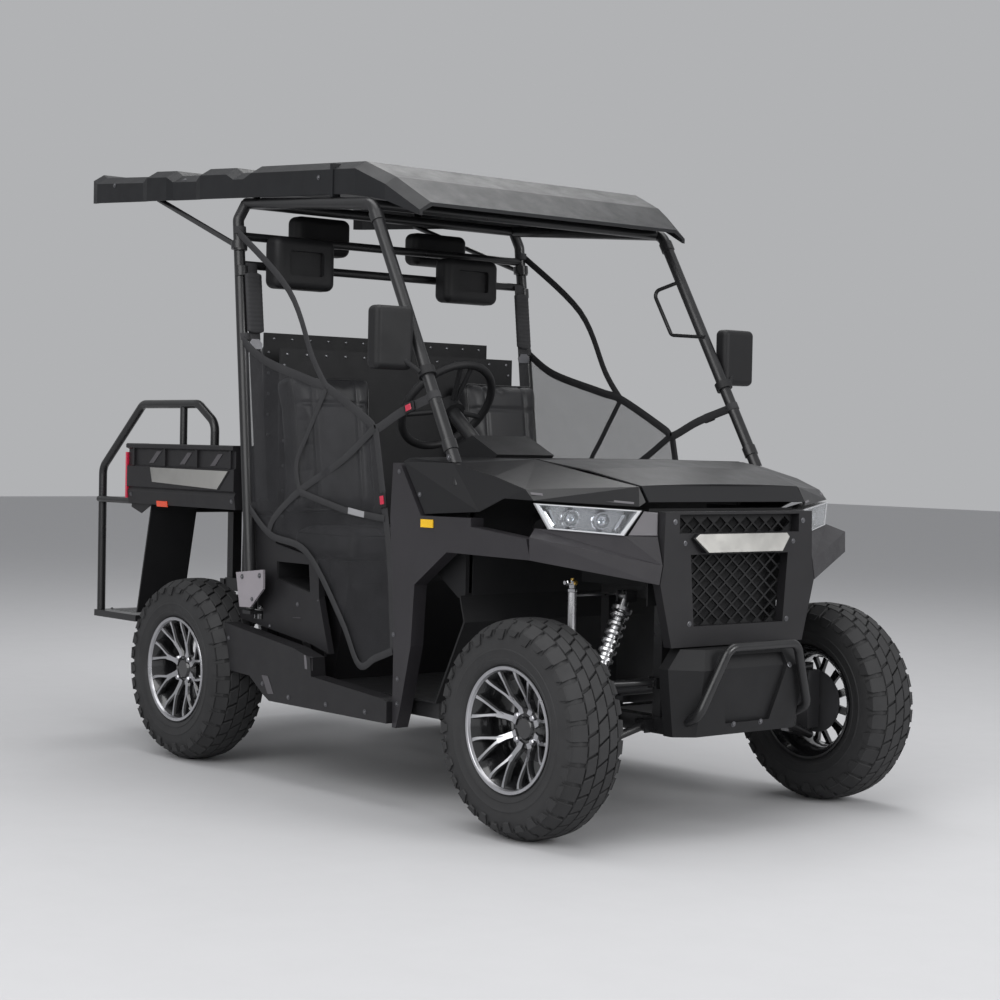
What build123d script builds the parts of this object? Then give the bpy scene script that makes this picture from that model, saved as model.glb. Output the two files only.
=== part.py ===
from build123d import *
import math
import os

# A two-seat side-by-side utility cart with a long moulded roof, a short cargo bed
# and a rear-facing seat kit.
# Millimetres. X runs forward, Y to the left, Z up, and Z = 0 is the ground.
# Stations along X are measured from mid-wheelbase; save() moves every piece so that
# X = 0 comes to the middle of the overall length.

# Wheels
WHEELBASE = 1881
TRACK = 1310
TYRE_RADIUS = 330
TYRE_WIDTH = 205
RIM_SEAT_RADIUS = 178
RIM_LIP_RADIUS = 190
RIM_WIDTH = 186
SPOKE_COUNT = 8
HUB_RADIUS = 72
HUB_BOLT_CIRCLE = 55
HUB_BOLT_COUNT = 4
HUB_THICK = 26
FRONT_HUB_DEPTH = 75
REAR_HUB_DEPTH = 40
FRONT_AXLE_X = WHEELBASE / 2
REAR_AXLE_X = -WHEELBASE / 2
WHEEL_Y = TRACK / 2

# Clearances
RUN = 0.3
SWING = 5

# Frame
RAIL = 50
RAIL_Y = 230
RAIL_Z = 325
REAR_RAIL_Z = 600
RAIL_FRONT_X = 1120
RAIL_KICK_X = -520
RAIL_REAR_X = -1385
SIDE_RAIL_Y = 600
TOWER = 36
KICK_SEAM = 20
FRONT_SEAM_X = 640
HITCH_X = -1445
HITCH_RADIUS = 10
# Columns: station and height of each cross member, with or without outriggers to the side rails
CROSS_MEMBERS = (
    (1080, RAIL_Z, False),
    (800, RAIL_Z, False),
    (440, RAIL_Z, True),
    (-60, RAIL_Z, True),
    (-500, RAIL_Z, True),
    (-760, REAR_RAIL_Z, False),
    (-1360, REAR_RAIL_Z, False),
)
FLOOR_Z = RAIL_Z + RAIL / 2 + RUN
FLOOR_THICK = 6
FLOOR_HALF_WIDTH = 640

# Body
FENDER_Y = 700
SILL_Y = 720
QUARTER_Y = 648
SILL_BOTTOM_Z = 275
COWL_Z = 1130
SKIN = 5

# Cage and roof
CAGE_TUBE = 40
CAGE_Y = 657
A_FOOT_X = 586
A_HEAD_X = 109
A_HEAD_Z = 1950
B_FOOT_X = -545
B_FOOT_Z = 575
B_HEAD_X = -700
ROOF_REAR_X = -1790
ROOF_FRONT_X = 285
ROOF_HALF_WIDTH = 660
ROOF_THICK = 12

# Bed and rear seat kit
BED_FRONT_X = -660
BED_REAR_X = -1415
BED_HALF_WIDTH = 690
BED_FLOOR_Z = 925
BED_TOP_Z = 1149
BED_WALL = 24
KIT_TUBE = 32
KIT_Y = 600
KIT_REAR_X = -1754
STEP_Z = 483
STEP_FRONT_X = -1448
LINK_Z = 925
NET_Y = 666

# Seats
SEAT_HALF_WIDTH = 590
SEAT_FRONT_X = -75
SEAT_REAR_X = -470
SEAT_TOP_Z = 870
SEAT_BASE_TOP_Z = 765
SEAT_BACK_TOP_Z = 1422
SEAT_BACK_RAKE = 8
SEAT_BACK_THICK = 120
SEAT_BASE_HALF_WIDTH = 570

# Front end
LAMP_DEPTH = 34
BOWL_RADIUS = 26
MESH_PITCH_Y = 58
MESH_PITCH_Z = 46
MESH_BAR = 8
BRACKET_Z = 661
BUMPER_TUBE = 28
BUMPER_FRONT_X = 1270

# Overall reach, which gives the export shift
FRONT_REACH_X = BUMPER_FRONT_X + BUMPER_TUBE / 2
REAR_REACH_X = ROOF_REAR_X
MID_X = (FRONT_REACH_X + REAR_REACH_X) / 2

# Steering
WHEEL_HUB_X = 105
WHEEL_HUB_Y = -330
WHEEL_HUB_Z = 1300
WHEEL_RAKE = 38
STEER_RING_RADIUS = 172
STEER_RING_TUBE = 14
COLUMN_RADIUS = 24
KINGPIN_Y = 575
UPPER_JOINT_Z = TYRE_RADIUS + 90
LOWER_JOINT_Z = TYRE_RADIUS - 68
RACK_X = 762
RACK_Z = 400
RACK_HALF_LENGTH = 200
RACK_BAR_RADIUS = 13
ROD_END_Z = TYRE_RADIUS + 30
STEER_ARM = 110
STEER_ARM_Y = KINGPIN_Y - 20

# Suspension
PIN_RADIUS = 7
LOWER_ARM_SPAN = 90
LOWER_PIVOT_Y = -RAIL_Y - RAIL / 2 - 17 - RUN
LOWER_PIVOT_Z = 322
LOWER_BALL_Z = LOWER_JOINT_Z - 40
UPPER_ARM_SPAN = 120
UPPER_PIVOT_Y = -RAIL_Y - TOWER / 2 - 13 - RUN
UPPER_PIVOT_Z = 455
UPPER_BALL_Z = UPPER_JOINT_Z + 32
STRUT_HEAD_Y = -270
STRUT_HEAD_Z = 712
STRUT_FOOT_Y = -480
SPRING_RADIUS = 32
SPRING_TURNS = 9
REAR_ARM_X = -543.3
REAR_ARM_Y = 330
REAR_STRUT_X = -1040
STRUT_BEAM_Z = 868

# Seats of the body on the frame and the cage
HOOD_REAR_X = 728
HOOD_HINGE_Y = 330
HOOD_HINGE_Z = 1119.5
FASCIA_BACK_X = 1130
NOSE_SET = 4
FIREWALL_X = 576
DASH_HALF_WIDTH = 615
DASH_BAR_X = FIREWALL_X + FLOOR_THICK + RUN + 16
DASH_BAR_Z = 1045
A_FOOT_Z = 1115
STUB_RADIUS = 12
HEADER_Y = 624
B_HEAD_Z = 2014
UPPER_BAR_Z = 1895
LOWER_BAR_Z = 1793
STRUT_ROOF_X = -1330
STRUT_ROOF_Y = 612
STRUT_ROOF_Z = 2084
TAILGATE_HALF_WIDTH = 600
TAILGATE_HINGE_Z = 935
TAILGATE_TOP_Z = 1090


def save(name, *shapes):
    """Write one named piece, moved to the mid-length frame."""
    solids = []
    for shape in shapes:
        solids.extend(shape.solids())
    placed = [solid.moved(Location((-MID_X, 0, 0))) for solid in solids]
    piece = placed[0] if len(placed) == 1 else Compound(children=placed)
    export_step(piece, "parts/" + name + ".step")


def left_of(shape):
    """The mirror image of a right-hand piece."""
    return mirror(shape, about=Plane.XZ)


def rod(start, end, radius):
    """A straight round bar between two points."""
    start = Vector(*start)
    end = Vector(*end)
    axis = end - start
    return extrude(Plane(origin=start, z_dir=axis) * Circle(radius), amount=axis.length)


def tube(points, radius, bend):
    """A round bar bent along a chain of points."""
    path = FilletPolyline(*points, radius=bend)
    start = Plane(origin=path @ 0, z_dir=path % 0)
    return sweep(start * Circle(radius), path=path)


def box(low, high):
    """A block between two corners."""
    size = [h - l for l, h in zip(low, high)]
    middle = [(h + l) / 2 for l, h in zip(low, high)]
    return Pos(*middle) * Box(*size)


def side_plate(outline, y_low, y_high):
    """A plate in the side view: an outline of (x, z) points between two Y planes."""
    face = make_face(Polyline(*[(x, y_low, z) for x, z in outline], close=True))
    return extrude(face, amount=y_high - y_low, dir=(0, 1, 0))


def section_loft(sections):
    """A straight-sided body through closed outlines of (x, y, z) points."""
    faces = [make_face(Polyline(*points, close=True)) for points in sections]
    return loft(faces, ruled=True)


def faceted_panel(corners, facets, thick):
    """A moulded panel of flat facets with one wall thickness.

    corners maps a name to (x, y, z); facets lists the corner names round each facet,
    anticlockwise as seen from outside. The inner skin is the outer one set in by the
    wall along the mean normal at each corner.
    """
    outer = {name: Vector(*point) for name, point in corners.items()}
    triangles = []
    for facet in facets:
        for k in range(1, len(facet) - 1):
            triangles.append((facet[0], facet[k], facet[k + 1]))
    normals = {name: [] for name in outer}
    for a, b, c in triangles:
        normal = (outer[b] - outer[a]).cross(outer[c] - outer[a]).normalized()
        for name in (a, b, c):
            normals[name].append(normal)
    inner = {}
    for name, found in normals.items():
        if not found:
            continue
        mean = sum(found, Vector(0, 0, 0)).normalized()
        spread = max(0.5, sum(mean.dot(n) for n in found) / len(found))
        inner[name] = outer[name] - mean * (thick / spread)
    edges = set()
    for a, b, c in triangles:
        edges.update([(a, b), (b, c), (c, a)])
    rim = [edge for edge in edges if (edge[1], edge[0]) not in edges]
    faces = []
    for a, b, c in triangles:
        faces.append(triangle(outer[a], outer[b], outer[c]))
        faces.append(triangle(inner[a], inner[c], inner[b]))
    for a, b in sorted(rim):
        faces.append(triangle(outer[b], outer[a], inner[a]))
        faces.append(triangle(outer[b], inner[a], inner[b]))
    return Solid(Shell(faces))


def ring_block(rings):
    """A closed block through rings of corner points that need not be flat."""
    rings = [[Vector(*point) for point in ring] for ring in rings]
    count = len(rings[0])
    faces = []
    for near, far in zip(rings, rings[1:]):
        for k in range(count):
            n = (k + 1) % count
            faces.append(triangle(near[k], near[n], far[n]))
            faces.append(triangle(near[k], far[n], far[k]))
    for ring in (rings[0], rings[-1]):
        for k in range(1, count - 1):
            faces.append(triangle(ring[0], ring[k], ring[k + 1]))
    return Solid(Shell(faces))


def triangle(a, b, c):
    """One flat triangular face."""
    return make_face(Polyline(a, b, c, close=True)).face()


def disc_y(centre, y_low, y_high, radius):
    """A plain disc about a Y axis."""
    plane = Plane(origin=(centre[0], y_low, centre[1]), z_dir=(0, 1, 0))
    return extrude(plane * Circle(radius), amount=y_high - y_low)


# The beads sit just inside the lips of the rim.
RIM_LIP_WALL = 7
BEAD_SHARE = (RIM_WIDTH / 2 - RIM_LIP_WALL - RUN) / TYRE_WIDTH

# Tyre section: radius and share of the width, from one bead round the tread to the other
TYRE_SECTION = [
    (RIM_SEAT_RADIUS + 1, -BEAD_SHARE),
    (RIM_LIP_RADIUS + 2, -BEAD_SHARE),
    (RIM_SEAT_RADIUS + 30, -0.495),
    (TYRE_RADIUS - 70, -0.5),
    (TYRE_RADIUS - 28, -0.46),
    (TYRE_RADIUS - 8, -0.36),
    (TYRE_RADIUS, -0.16),
    (TYRE_RADIUS, 0.16),
    (TYRE_RADIUS - 8, 0.36),
    (TYRE_RADIUS - 28, 0.46),
    (TYRE_RADIUS - 70, 0.5),
    (RIM_SEAT_RADIUS + 30, 0.495),
    (RIM_LIP_RADIUS + 2, BEAD_SHARE),
    (RIM_SEAT_RADIUS + 1, BEAD_SHARE),
]


def revolve_y(profile, centre_x, centre_y):
    """Revolve (radius, y offset) points about a wheel's axle line."""
    points = [(centre_x + r, centre_y + y, TYRE_RADIUS) for r, y in profile]
    axis = Axis((centre_x, centre_y, TYRE_RADIUS), (0, 1, 0))
    return revolve(make_face(Polyline(*points, close=True)), axis=axis)


def tyre(centre_x, centre_y):
    """A radial tyre with square shoulders, open at the beads."""
    wall = 11
    outer = [(r, share * TYRE_WIDTH) for r, share in TYRE_SECTION]
    inner = [
        (RIM_SEAT_RADIUS + 1, BEAD_SHARE * TYRE_WIDTH - wall),
        (TYRE_RADIUS - 70, 0.5 * TYRE_WIDTH - wall),
        (TYRE_RADIUS - 30, 0.34 * TYRE_WIDTH),
        (TYRE_RADIUS - 30, -0.34 * TYRE_WIDTH),
        (TYRE_RADIUS - 70, -0.5 * TYRE_WIDTH + wall),
        (RIM_SEAT_RADIUS + 1, -BEAD_SHARE * TYRE_WIDTH + wall),
    ]
    return revolve_y(outer + inner, centre_x, centre_y)


def rim(centre_x, centre_y, outward, hub_depth):
    """A drop-centre rim with branching spokes; outward is -1 on the right, 1 on the left."""
    half = RIM_WIDTH / 2
    barrel = [
        (RIM_LIP_RADIUS, -half),
        (RIM_LIP_RADIUS, -half + RIM_LIP_WALL),
        (RIM_SEAT_RADIUS, -half + RIM_LIP_WALL),
        (RIM_SEAT_RADIUS - 2, -half + 45),
        (RIM_SEAT_RADIUS - 22, -half + 62),
        (RIM_SEAT_RADIUS - 22, half - 62),
        (RIM_SEAT_RADIUS - 2, half - 45),
        (RIM_SEAT_RADIUS, half - RIM_LIP_WALL),
        (RIM_LIP_RADIUS, half - RIM_LIP_WALL),
        (RIM_LIP_RADIUS, half),
        (RIM_LIP_RADIUS - 7, half),
        (RIM_SEAT_RADIUS - 9, half - 14),
        (RIM_SEAT_RADIUS - 30, half - 62),
        (RIM_SEAT_RADIUS - 30, -half + 62),
        (RIM_SEAT_RADIUS - 9, -half + 14),
        (RIM_LIP_RADIUS - 7, -half),
    ]
    body = revolve_y(barrel, centre_x, centre_y)
    lip_y = centre_y + outward * half
    hub_face = lip_y - outward * hub_depth
    hub_back = hub_face - outward * HUB_THICK
    low, high = sorted((hub_face, hub_back))
    body = body + disc_y((centre_x, TYRE_RADIUS), low, high, HUB_RADIUS)
    # Each spoke leaves the hub as one leg and forks into two that meet the barrel.
    # Columns: start radius, start angle, end radius, end angle; angles as shares of the spoke pitch
    root = HUB_RADIUS - 12
    tip = RIM_SEAT_RADIUS - 6
    fork = (root + tip) / 2
    legs = [
        (root, 0.00, fork + 2, 0.22),
        (fork - 4, 0.20, tip, 0.02),
        (fork - 4, 0.20, tip, 0.52),
    ]
    pitch = 2 * math.pi / SPOKE_COUNT
    spokes = []
    for k in range(SPOKE_COUNT):
        for leg in legs:
            spokes.append(spoke_leg(centre_x, hub_face, lip_y, outward, pitch, k, leg))
    body = body + spokes
    for k in range(HUB_BOLT_COUNT):
        angle = 2 * math.pi * (k + 0.5) / HUB_BOLT_COUNT
        at = (
            centre_x + HUB_BOLT_CIRCLE * math.cos(angle),
            TYRE_RADIUS + HUB_BOLT_CIRCLE * math.sin(angle),
        )
        body = body - disc_y(at, low - 1, high + 1, 7)
    return body


def spoke_leg(centre_x, hub_face, lip_y, outward, pitch, index, leg):
    """One straight tapering leg of a spoke, leaning from the hub face out to the lip."""
    r0, a0, r1, a1 = leg
    outer_face = lip_y - outward * 12
    reach = RIM_SEAT_RADIUS - 60

    def face_y(radius):
        share = max(0.0, (radius - 60) / reach)
        return hub_face + (outer_face - hub_face) * min(1.0, share)

    ends = []
    for radius, angle, width in ((r0, a0, 15), (r1, a1, 10)):
        turn = (index + angle) * pitch
        radial = Vector(math.cos(turn), 0, math.sin(turn))
        cross = Vector(-math.sin(turn), 0, math.cos(turn))
        front = Vector(centre_x, face_y(radius), TYRE_RADIUS) + radial * radius
        back = front - Vector(0, outward * 18, 0)
        ends.append([front - cross * width / 2, front + cross * width / 2,
                     back + cross * width / 2, back - cross * width / 2])
    return section_loft(ends)


def build_wheels():
    """Four tyres on four rims; the front hubs sit deeper than the rear ones."""
    # Columns: name, axle station, depth of the hub face behind the lip
    for name, x, depth in (("front", FRONT_AXLE_X, FRONT_HUB_DEPTH), ("rear", REAR_AXLE_X, REAR_HUB_DEPTH)):
        rubber = tyre(x, -WHEEL_Y)
        save("tyre_" + name + "_right", rubber)
        save("tyre_" + name + "_left", left_of(rubber))
        alloy = rim(x, -WHEEL_Y, -1, depth)
        save("rim_" + name + "_right", alloy)
        save("rim_" + name + "_left", left_of(alloy))


def square_bar(points, size):
    """A square tube bent along a chain of points, mitred at its corners."""
    path = Polyline(*points)
    start = Plane(origin=path @ 0, z_dir=path % 0, x_dir=(0, 1, 0))
    return sweep(start * Rectangle(size, size), path=path, transition=Transition.RIGHT)


def build_frame():
    """Two main rails kicked up over the rear axle, with side rails, cross members and cage posts."""
    half = RAIL / 2
    rail = square_bar(
        [
            (RAIL_FRONT_X, -RAIL_Y, RAIL_Z),
            (RAIL_KICK_X, -RAIL_Y, RAIL_Z),
            (RAIL_KICK_X - 130, -RAIL_Y, REAR_RAIL_Z),
            (RAIL_REAR_X, -RAIL_Y, REAR_RAIL_Z),
        ],
        RAIL,
    )
    # Lower arm brackets on the outside of each rail
    for x in (FRONT_AXLE_X - LOWER_ARM_SPAN, FRONT_AXLE_X + LOWER_ARM_SPAN):
        rail = rail + ears((x, LOWER_PIVOT_Y, LOWER_PIVOT_Z), "x", 20.5, (5, 36, 40))
    # Each rail is four bars: two seams at the kick and one behind the front towers
    for x in (FRONT_SEAM_X, RAIL_KICK_X + KICK_SEAM, RAIL_KICK_X - 130 - KICK_SEAM):
        rail = rail - box((x, -RAIL_Y - RAIL, RAIL_Z - RAIL), (x + RUN, -RAIL_Y + RAIL, REAR_RAIL_Z + RAIL))
    bars = [rail, left_of(rail)]
    inner = RAIL_Y - half - RUN
    outer = RAIL_Y + half + RUN
    reach = SIDE_RAIL_Y - half - RUN
    for x, z, outriggers in CROSS_MEMBERS:
        bars.append(box((x - half, -inner, z - half), (x + half, inner, z + half)))
        if outriggers:
            arm = box((x - half, -reach, z - half), (x + half, -outer, z + half))
            if x < B_FOOT_X + 50:
                arm = arm + ears((REAR_ARM_X, -REAR_ARM_Y, RAIL_Z), "y", 22.5, (36.6, 5, 40))
            bars.extend([arm, left_of(arm)])
    side_rail = box((-525 + RUN, -SIDE_RAIL_Y - half, RAIL_Z - half), (465, -SIDE_RAIL_Y + half, RAIL_Z + half))
    bars.extend([side_rail, left_of(side_rail)])
    # Outer posts behind the seats carry the feet of the cage.
    foot = box((B_FOOT_X - 20, -SIDE_RAIL_Y - 20, RAIL_Z - half), (B_FOOT_X + 20, -SIDE_RAIL_Y + 20, 560))
    foot = foot + box((B_FOOT_X - 25, -CAGE_Y - 40, 560), (B_FOOT_X + 25, -SIDE_RAIL_Y + 20, B_FOOT_Z - 2.5))
    bars.extend([foot, left_of(foot)])
    save("chassis_frame", *bars)


def ears(middle, across, gap, size):
    """A pair of bracket plates each side of a bush, across its axis."""
    pair = None
    for side in (-1, 1):
        x, y, z = middle
        if across == "x":
            x = x + side * (gap + size[0] / 2)
        else:
            y = y + side * (gap + size[1] / 2)
        plate = Pos(x, y, z) * Box(*size)
        pair = plate if pair is None else pair + plate
    return pair


def build_towers():
    """Posts and beams over the front rails that carry the upper arms and the heads of the struts."""
    reach = TOWER / 2
    low = RAIL_Z + RAIL / 2 + RUN
    beam_z = STRUT_HEAD_Z - 4
    bars = []
    for x in (FRONT_AXLE_X - UPPER_ARM_SPAN, FRONT_AXLE_X + UPPER_ARM_SPAN):
        post = box((x - reach, -RAIL_Y - reach, low), (x + reach, -RAIL_Y + reach, beam_z - RUN))
        post = post + ears((x, UPPER_PIVOT_Y + 3.5, UPPER_PIVOT_Z), "x", 13.5, (5, 22, 34))
        bars.extend([post, left_of(post)])
    span = UPPER_ARM_SPAN + reach
    head = (FRONT_AXLE_X, STRUT_HEAD_Y, STRUT_HEAD_Z)
    beam = box((FRONT_AXLE_X - span, -RAIL_Y - reach, beam_z), (FRONT_AXLE_X + span, -RAIL_Y + reach, beam_z + TOWER))
    beam = beam + ears(head, "x", 17.5, (6, 44, 36)) + bush(head, (1, 0, 0), PIN_RADIUS, 40)
    bars.extend([beam, left_of(beam)])
    inner = RAIL_Y - reach - RUN
    bars.append(box((FRONT_AXLE_X - reach, -inner, beam_z), (FRONT_AXLE_X + reach, inner, beam_z + TOWER)))
    save("front_towers", *bars)


def build_bed_frame():
    """Posts on the rear rails, the bed's two bearers and the beam that carries the rear struts."""
    low = REAR_RAIL_Z + RAIL / 2 + RUN
    bearer_z = BED_FLOOR_Z - 40
    bars = []
    # Columns: station of each pair of posts, height of what they carry
    for x, top in ((-760, bearer_z), (REAR_STRUT_X, STRUT_BEAM_Z), (-1360, bearer_z)):
        post = box((x - 20, -RAIL_Y - 20, low), (x + 20, -RAIL_Y + 20, top - RUN))
        bars.extend([post, left_of(post)])
    for x in (-760, -1360):
        bars.append(box((x - 20, -560, bearer_z), (x + 20, 560, BED_FLOOR_Z - SKIN - RUN)))
    beam = box((REAR_STRUT_X - 20, -350, STRUT_BEAM_Z), (REAR_STRUT_X + 20, 350, STRUT_BEAM_Z + 20))
    head = (REAR_STRUT_X, -REAR_ARM_Y, STRUT_BEAM_Z - 22)
    bracket = ears(head, "y", 15.5, (40, 5, 44)) + bush(head, (0, 1, 0), PIN_RADIUS, 36)
    bars.append(beam + bracket + left_of(bracket))
    save("bed_frame", *bars)


def build_hitch():
    """The tow tongue under the rear cross member."""
    plate = box((HITCH_X - 35, -70, 440), (HITCH_X + 60, 70, 450)) - Pos(HITCH_X, 0, 445) * Cylinder(HITCH_RADIUS, 30)
    stem = box((HITCH_X + 45, -30, 450), (HITCH_X + 95, 30, REAR_RAIL_Z - RAIL / 2 - RUN))
    save("hitch_tongue", plate + stem)


def build_floor():
    """The cab floor with its rising toe board and firewall."""
    top = FLOOR_Z + FLOOR_THICK
    profile = [
        (-300, FLOOR_Z), (468, FLOOR_Z), (606, 618), (FIREWALL_X + FLOOR_THICK, 700), (FIREWALL_X, 699),
        (599, 620), (463, top), (-300, top),
    ]
    floor = side_plate(profile, -FLOOR_HALF_WIDTH, FLOOR_HALF_WIDTH)
    wall = box((FIREWALL_X, -590, 698), (FIREWALL_X + FLOOR_THICK, 590, 1062))
    floor = (floor + wall) - column_bar(COLUMN_RADIUS + RUN, -SWING, 720)
    save("floor_pan", floor)


# Outline of each storage mouth in the side view
MOUTH = ((-430, 750), (-235, 750), (-225, 655), (-430, 690))


def build_seat_base():
    """The moulded box below the seats, open at the back and with a storage mouth each side."""
    low = FLOOR_Z + FLOOR_THICK + RUN
    half = SEAT_BASE_HALF_WIDTH
    top = SEAT_BASE_TOP_Z
    base = side_plate([(-600, low), (-190, low), (-110, 690), (-110, top), (-600, top)], -half, half)
    hollow = side_plate(
        [(-601, low - 1), (-202, low - 1), (-122, 688), (-122, top - 12), (-601, top - 12)], -half + 12, half - 12)
    base = base - hollow
    mouth = side_plate(MOUTH, -half - 20, -half + 20)
    base = base - mouth - left_of(mouth)
    save("seat_base", base)


def hollow_side(outline, inner, y_out, y_in):
    """A side moulding: a skin with turned-in edges, open towards the car's middle."""
    shell = side_plate(outline, -y_out, -y_in)
    return shell - side_plate(inner, -y_out + SKIN, -y_in + 1)


def build_side_panels():
    """Quarter panels behind the door openings, the sills below them and the cage foot covers."""
    quarter = hollow_side(
        [(-650, 905), (-660, 535), (-215, 480), (-110, 455), (-172, 640), (-180, 770), (-440, 812), (-440, 905)],
        [(-645, 900), (-655, 541), (-215, 486), (-117, 461), (-177, 637), (-185, 766), (-445, 807), (-445, 900)],
        QUARTER_Y,
        QUARTER_Y - 24,
    )
    # A turned-in frame leads into the storage mouth of the seat base.
    quarter = quarter + side_plate(
        [(-445, 765), (-220, 765), (-209, 641), (-445, 680)], -QUARTER_Y + 1, -SEAT_BASE_HALF_WIDTH - RUN)
    quarter = quarter - side_plate(MOUTH, -QUARTER_Y - 1, -SEAT_BASE_HALF_WIDTH + 1)
    notch = box((B_FOOT_X - 32, -QUARTER_Y - 1, 540), (B_FOOT_X + 32, -QUARTER_Y + 25, 588))
    quarter = quarter - notch
    # Tabs screw each panel to the seat base and each sill to the side rail.
    for x, z in ((-400, 520), (-225, 520)):
        quarter = quarter + box((x - 15, -QUARTER_Y + 2, z), (x + 15, -SEAT_BASE_HALF_WIDTH - RUN, z + 12))
    save("quarter_panels", quarter, left_of(quarter))
    sill = hollow_side(
        [(-650, 523), (-606, 356), (-483, 350), (-394, 292), (-360, SILL_BOTTOM_Z), (316, SILL_BOTTOM_Z),
         (316, 345), (286, 353), (-108, 384), (-115, 446), (-215, 470)],
        [(-643, 517), (-601, 361), (-481, 355), (-391, 297), (-357, 280), (311, 280),
         (311, 340), (285, 348), (-112, 379), (-119, 441), (-216, 465)],
        SILL_Y,
        SILL_Y - 60,
    )
    for x in (-280, -20, 240):
        sill = sill + box((x - 15, -SILL_Y + 2, 320), (x + 15, -SIDE_RAIL_Y - RAIL / 2 - RUN, 332))
    save("sills", sill, left_of(sill))
    cover_y = -CAGE_Y - 18 - CAGE_TUBE / 2 - RUN
    cover = side_plate(
        [(-606, 703), (-433, 722), (-431, 655), (-512, 585), (-580, 583)], cover_y - 8, cover_y)
    save("cage_foot_covers", cover, left_of(cover))


# Outline points of the front clip, right-hand side seen as positive Y: x, half width, z
FRONT = {
    "ridge_rear": (726, 457, 1128),
    "ridge_front": (1077, 349, 1055),
    "lip_front": (1111, 345, 1007),
    "trim_front": (1095, 359, 990),
    "trim_outer": (935, 653, 1008),
    "trim_rear": (810, 662, 1010),
    "silver_low": (700, 668, 965),
    "gloss_low": (459, 690, 950),
    "gloss_top": (348, 693, 1112),
    "lamp_top_in": (1095, 359, 982),
    "lamp_top_out": (935, 653, 1000),
    "lamp_low_in": (1071, 408, 905.5),
    "lamp_low_out": (959, 615, 922.8),
    "crease_top": (978, 702, 901),
    "crease_low": (980, 702, 833),
    "nose_top": (1162, 334, 820),
    "nose_low": (1162, 346, 762),
}


def right(name):
    """A front clip point on the right-hand side."""
    x, y, z = FRONT[name]
    return (x, -y, z)


def build_hood():
    """The gloss centre lid, crowned across and hinged at its rear edge."""
    # Columns: station, half width, edge height, crown above the edge
    stations = [
        (HOOD_REAR_X, 455, 1128, 4),
        (900, 401, 1099, 12),
        (1076, 347, 1056, 6),
    ]
    sections = []
    for x, half, z, crown in stations:
        top = ThreePointArc((x, -half, z), (x, 0, z + crown), (x, half, z))
        low = ThreePointArc((x, half, z - 4), (x, 0, z + crown - 4), (x, -half, z - 4))
        ends = [Line((x, half, z), (x, half, z - 4)), Line((x, -half, z - 4), (x, -half, z))]
        sections.append(make_face([top, ends[0], low, ends[1]]))
    lid = loft(sections, ruled=True)
    lip = section_loft([
        [(1072, y, 1053), (1076, y, 1056), (1111, y, 1008), (1107, y, 1006)] for y in (-346, 346)
    ])
    hood = lid + lip
    for side in (-1, 1):
        middle = (HOOD_REAR_X, side * HOOD_HINGE_Y, HOOD_HINGE_Z)
        hood = hood + bush(middle, (0, 1, 0), 7, 40) - bush(middle, (0, 1, 0), 4, 42)
    save("hood", hood)


def build_cowl():
    """The fixed gloss panels each side of the lid, in front of the cab."""
    corners = {
        "ridge_rear": (724, -463, 1128),
        "ridge_front": (1074, -355, 1053),
        "lip": (1104, -354, 1008),
        "trim_front": (1092, -368, 994),
        "trim_outer": right("trim_outer"),
        "trim_rear": right("trim_rear"),
        "low": right("silver_low"),
        "gloss_low": right("gloss_low"),
        "gloss_top": right("gloss_top"),
        "shoulder_rear": (348, -672, 1124),
        "shoulder_mid": (600, -694, 1112),
        "shoulder_fall": (780, -675, 1076),
        "shoulder_front": (900, -655, 1040),
        "scuttle": (350, -461, COWL_Z),
    }
    facets = [
        ("scuttle", "shoulder_rear", "shoulder_mid", "ridge_rear"),
        ("ridge_rear", "shoulder_mid", "shoulder_fall"),
        ("ridge_rear", "shoulder_fall", "shoulder_front", "ridge_front"),
        ("ridge_front", "shoulder_front", "trim_outer", "trim_front"),
        ("ridge_front", "trim_front", "lip"),
        ("shoulder_rear", "gloss_top", "shoulder_mid"),
        ("gloss_top", "gloss_low", "low", "shoulder_mid"),
        ("low", "trim_rear", "shoulder_fall", "shoulder_mid"),
        ("trim_rear", "trim_outer", "shoulder_front", "shoulder_fall"),
    ]
    side = faceted_panel(corners, facets, 4) - pillar_stub(STUB_RADIUS + RUN)
    save("cowl_sides", side, left_of(side))


def build_front_fenders():
    """The satin fender: door post, arch return and faceted flare."""
    post_outline = [
        (302, 1107), (340, 1107), (451, 944), (700, 946), (700, 920), (960, 895), (980, 833),
        (584, 836), (424, 726), (410, 529), (358, 317), (339, 262), (320, 262), (320, 570), (291, 935),
    ]
    arch_inner = [
        (310, 1100), (336, 1100), (446, 937), (640, 938), (640, 845), (580, 843), (416, 730),
        (402, 530), (352, 322), (335, 270), (328, 270), (328, 570), (300, 935),
    ]
    post = side_plate(post_outline, -FENDER_Y, -FENDER_Y + 50)
    post = post - side_plate(arch_inner, -FENDER_Y + SKIN, -FENDER_Y + 60)
    # Tabs reach in to the side of the dash.
    for z in (880, 1000):
        post = post + box((368, -FENDER_Y + 2, z), (398, -DASH_HALF_WIDTH - RUN, z + 12))
    nose_corners = {
        "a": (700, -655, 950),
        "b": (940, -650, 925),
        "c": (1071, -408, 905),
        "crease_top": right("crease_top"),
        "crease_low": right("crease_low"),
        "nose_top": right("nose_top"),
        "nose_low": right("nose_low"),
        "grille_side": (1140, -336, 905),
    }
    nose_facets = [
        ("crease_top", "crease_low", "nose_low", "nose_top"),
        ("b", "crease_top", "nose_top", "c"),
        ("c", "nose_top", "grille_side"),
    ]
    nose = faceted_panel(nose_corners, nose_facets, 5)
    save("front_fenders", post, nose, left_of(post), left_of(nose))


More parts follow.
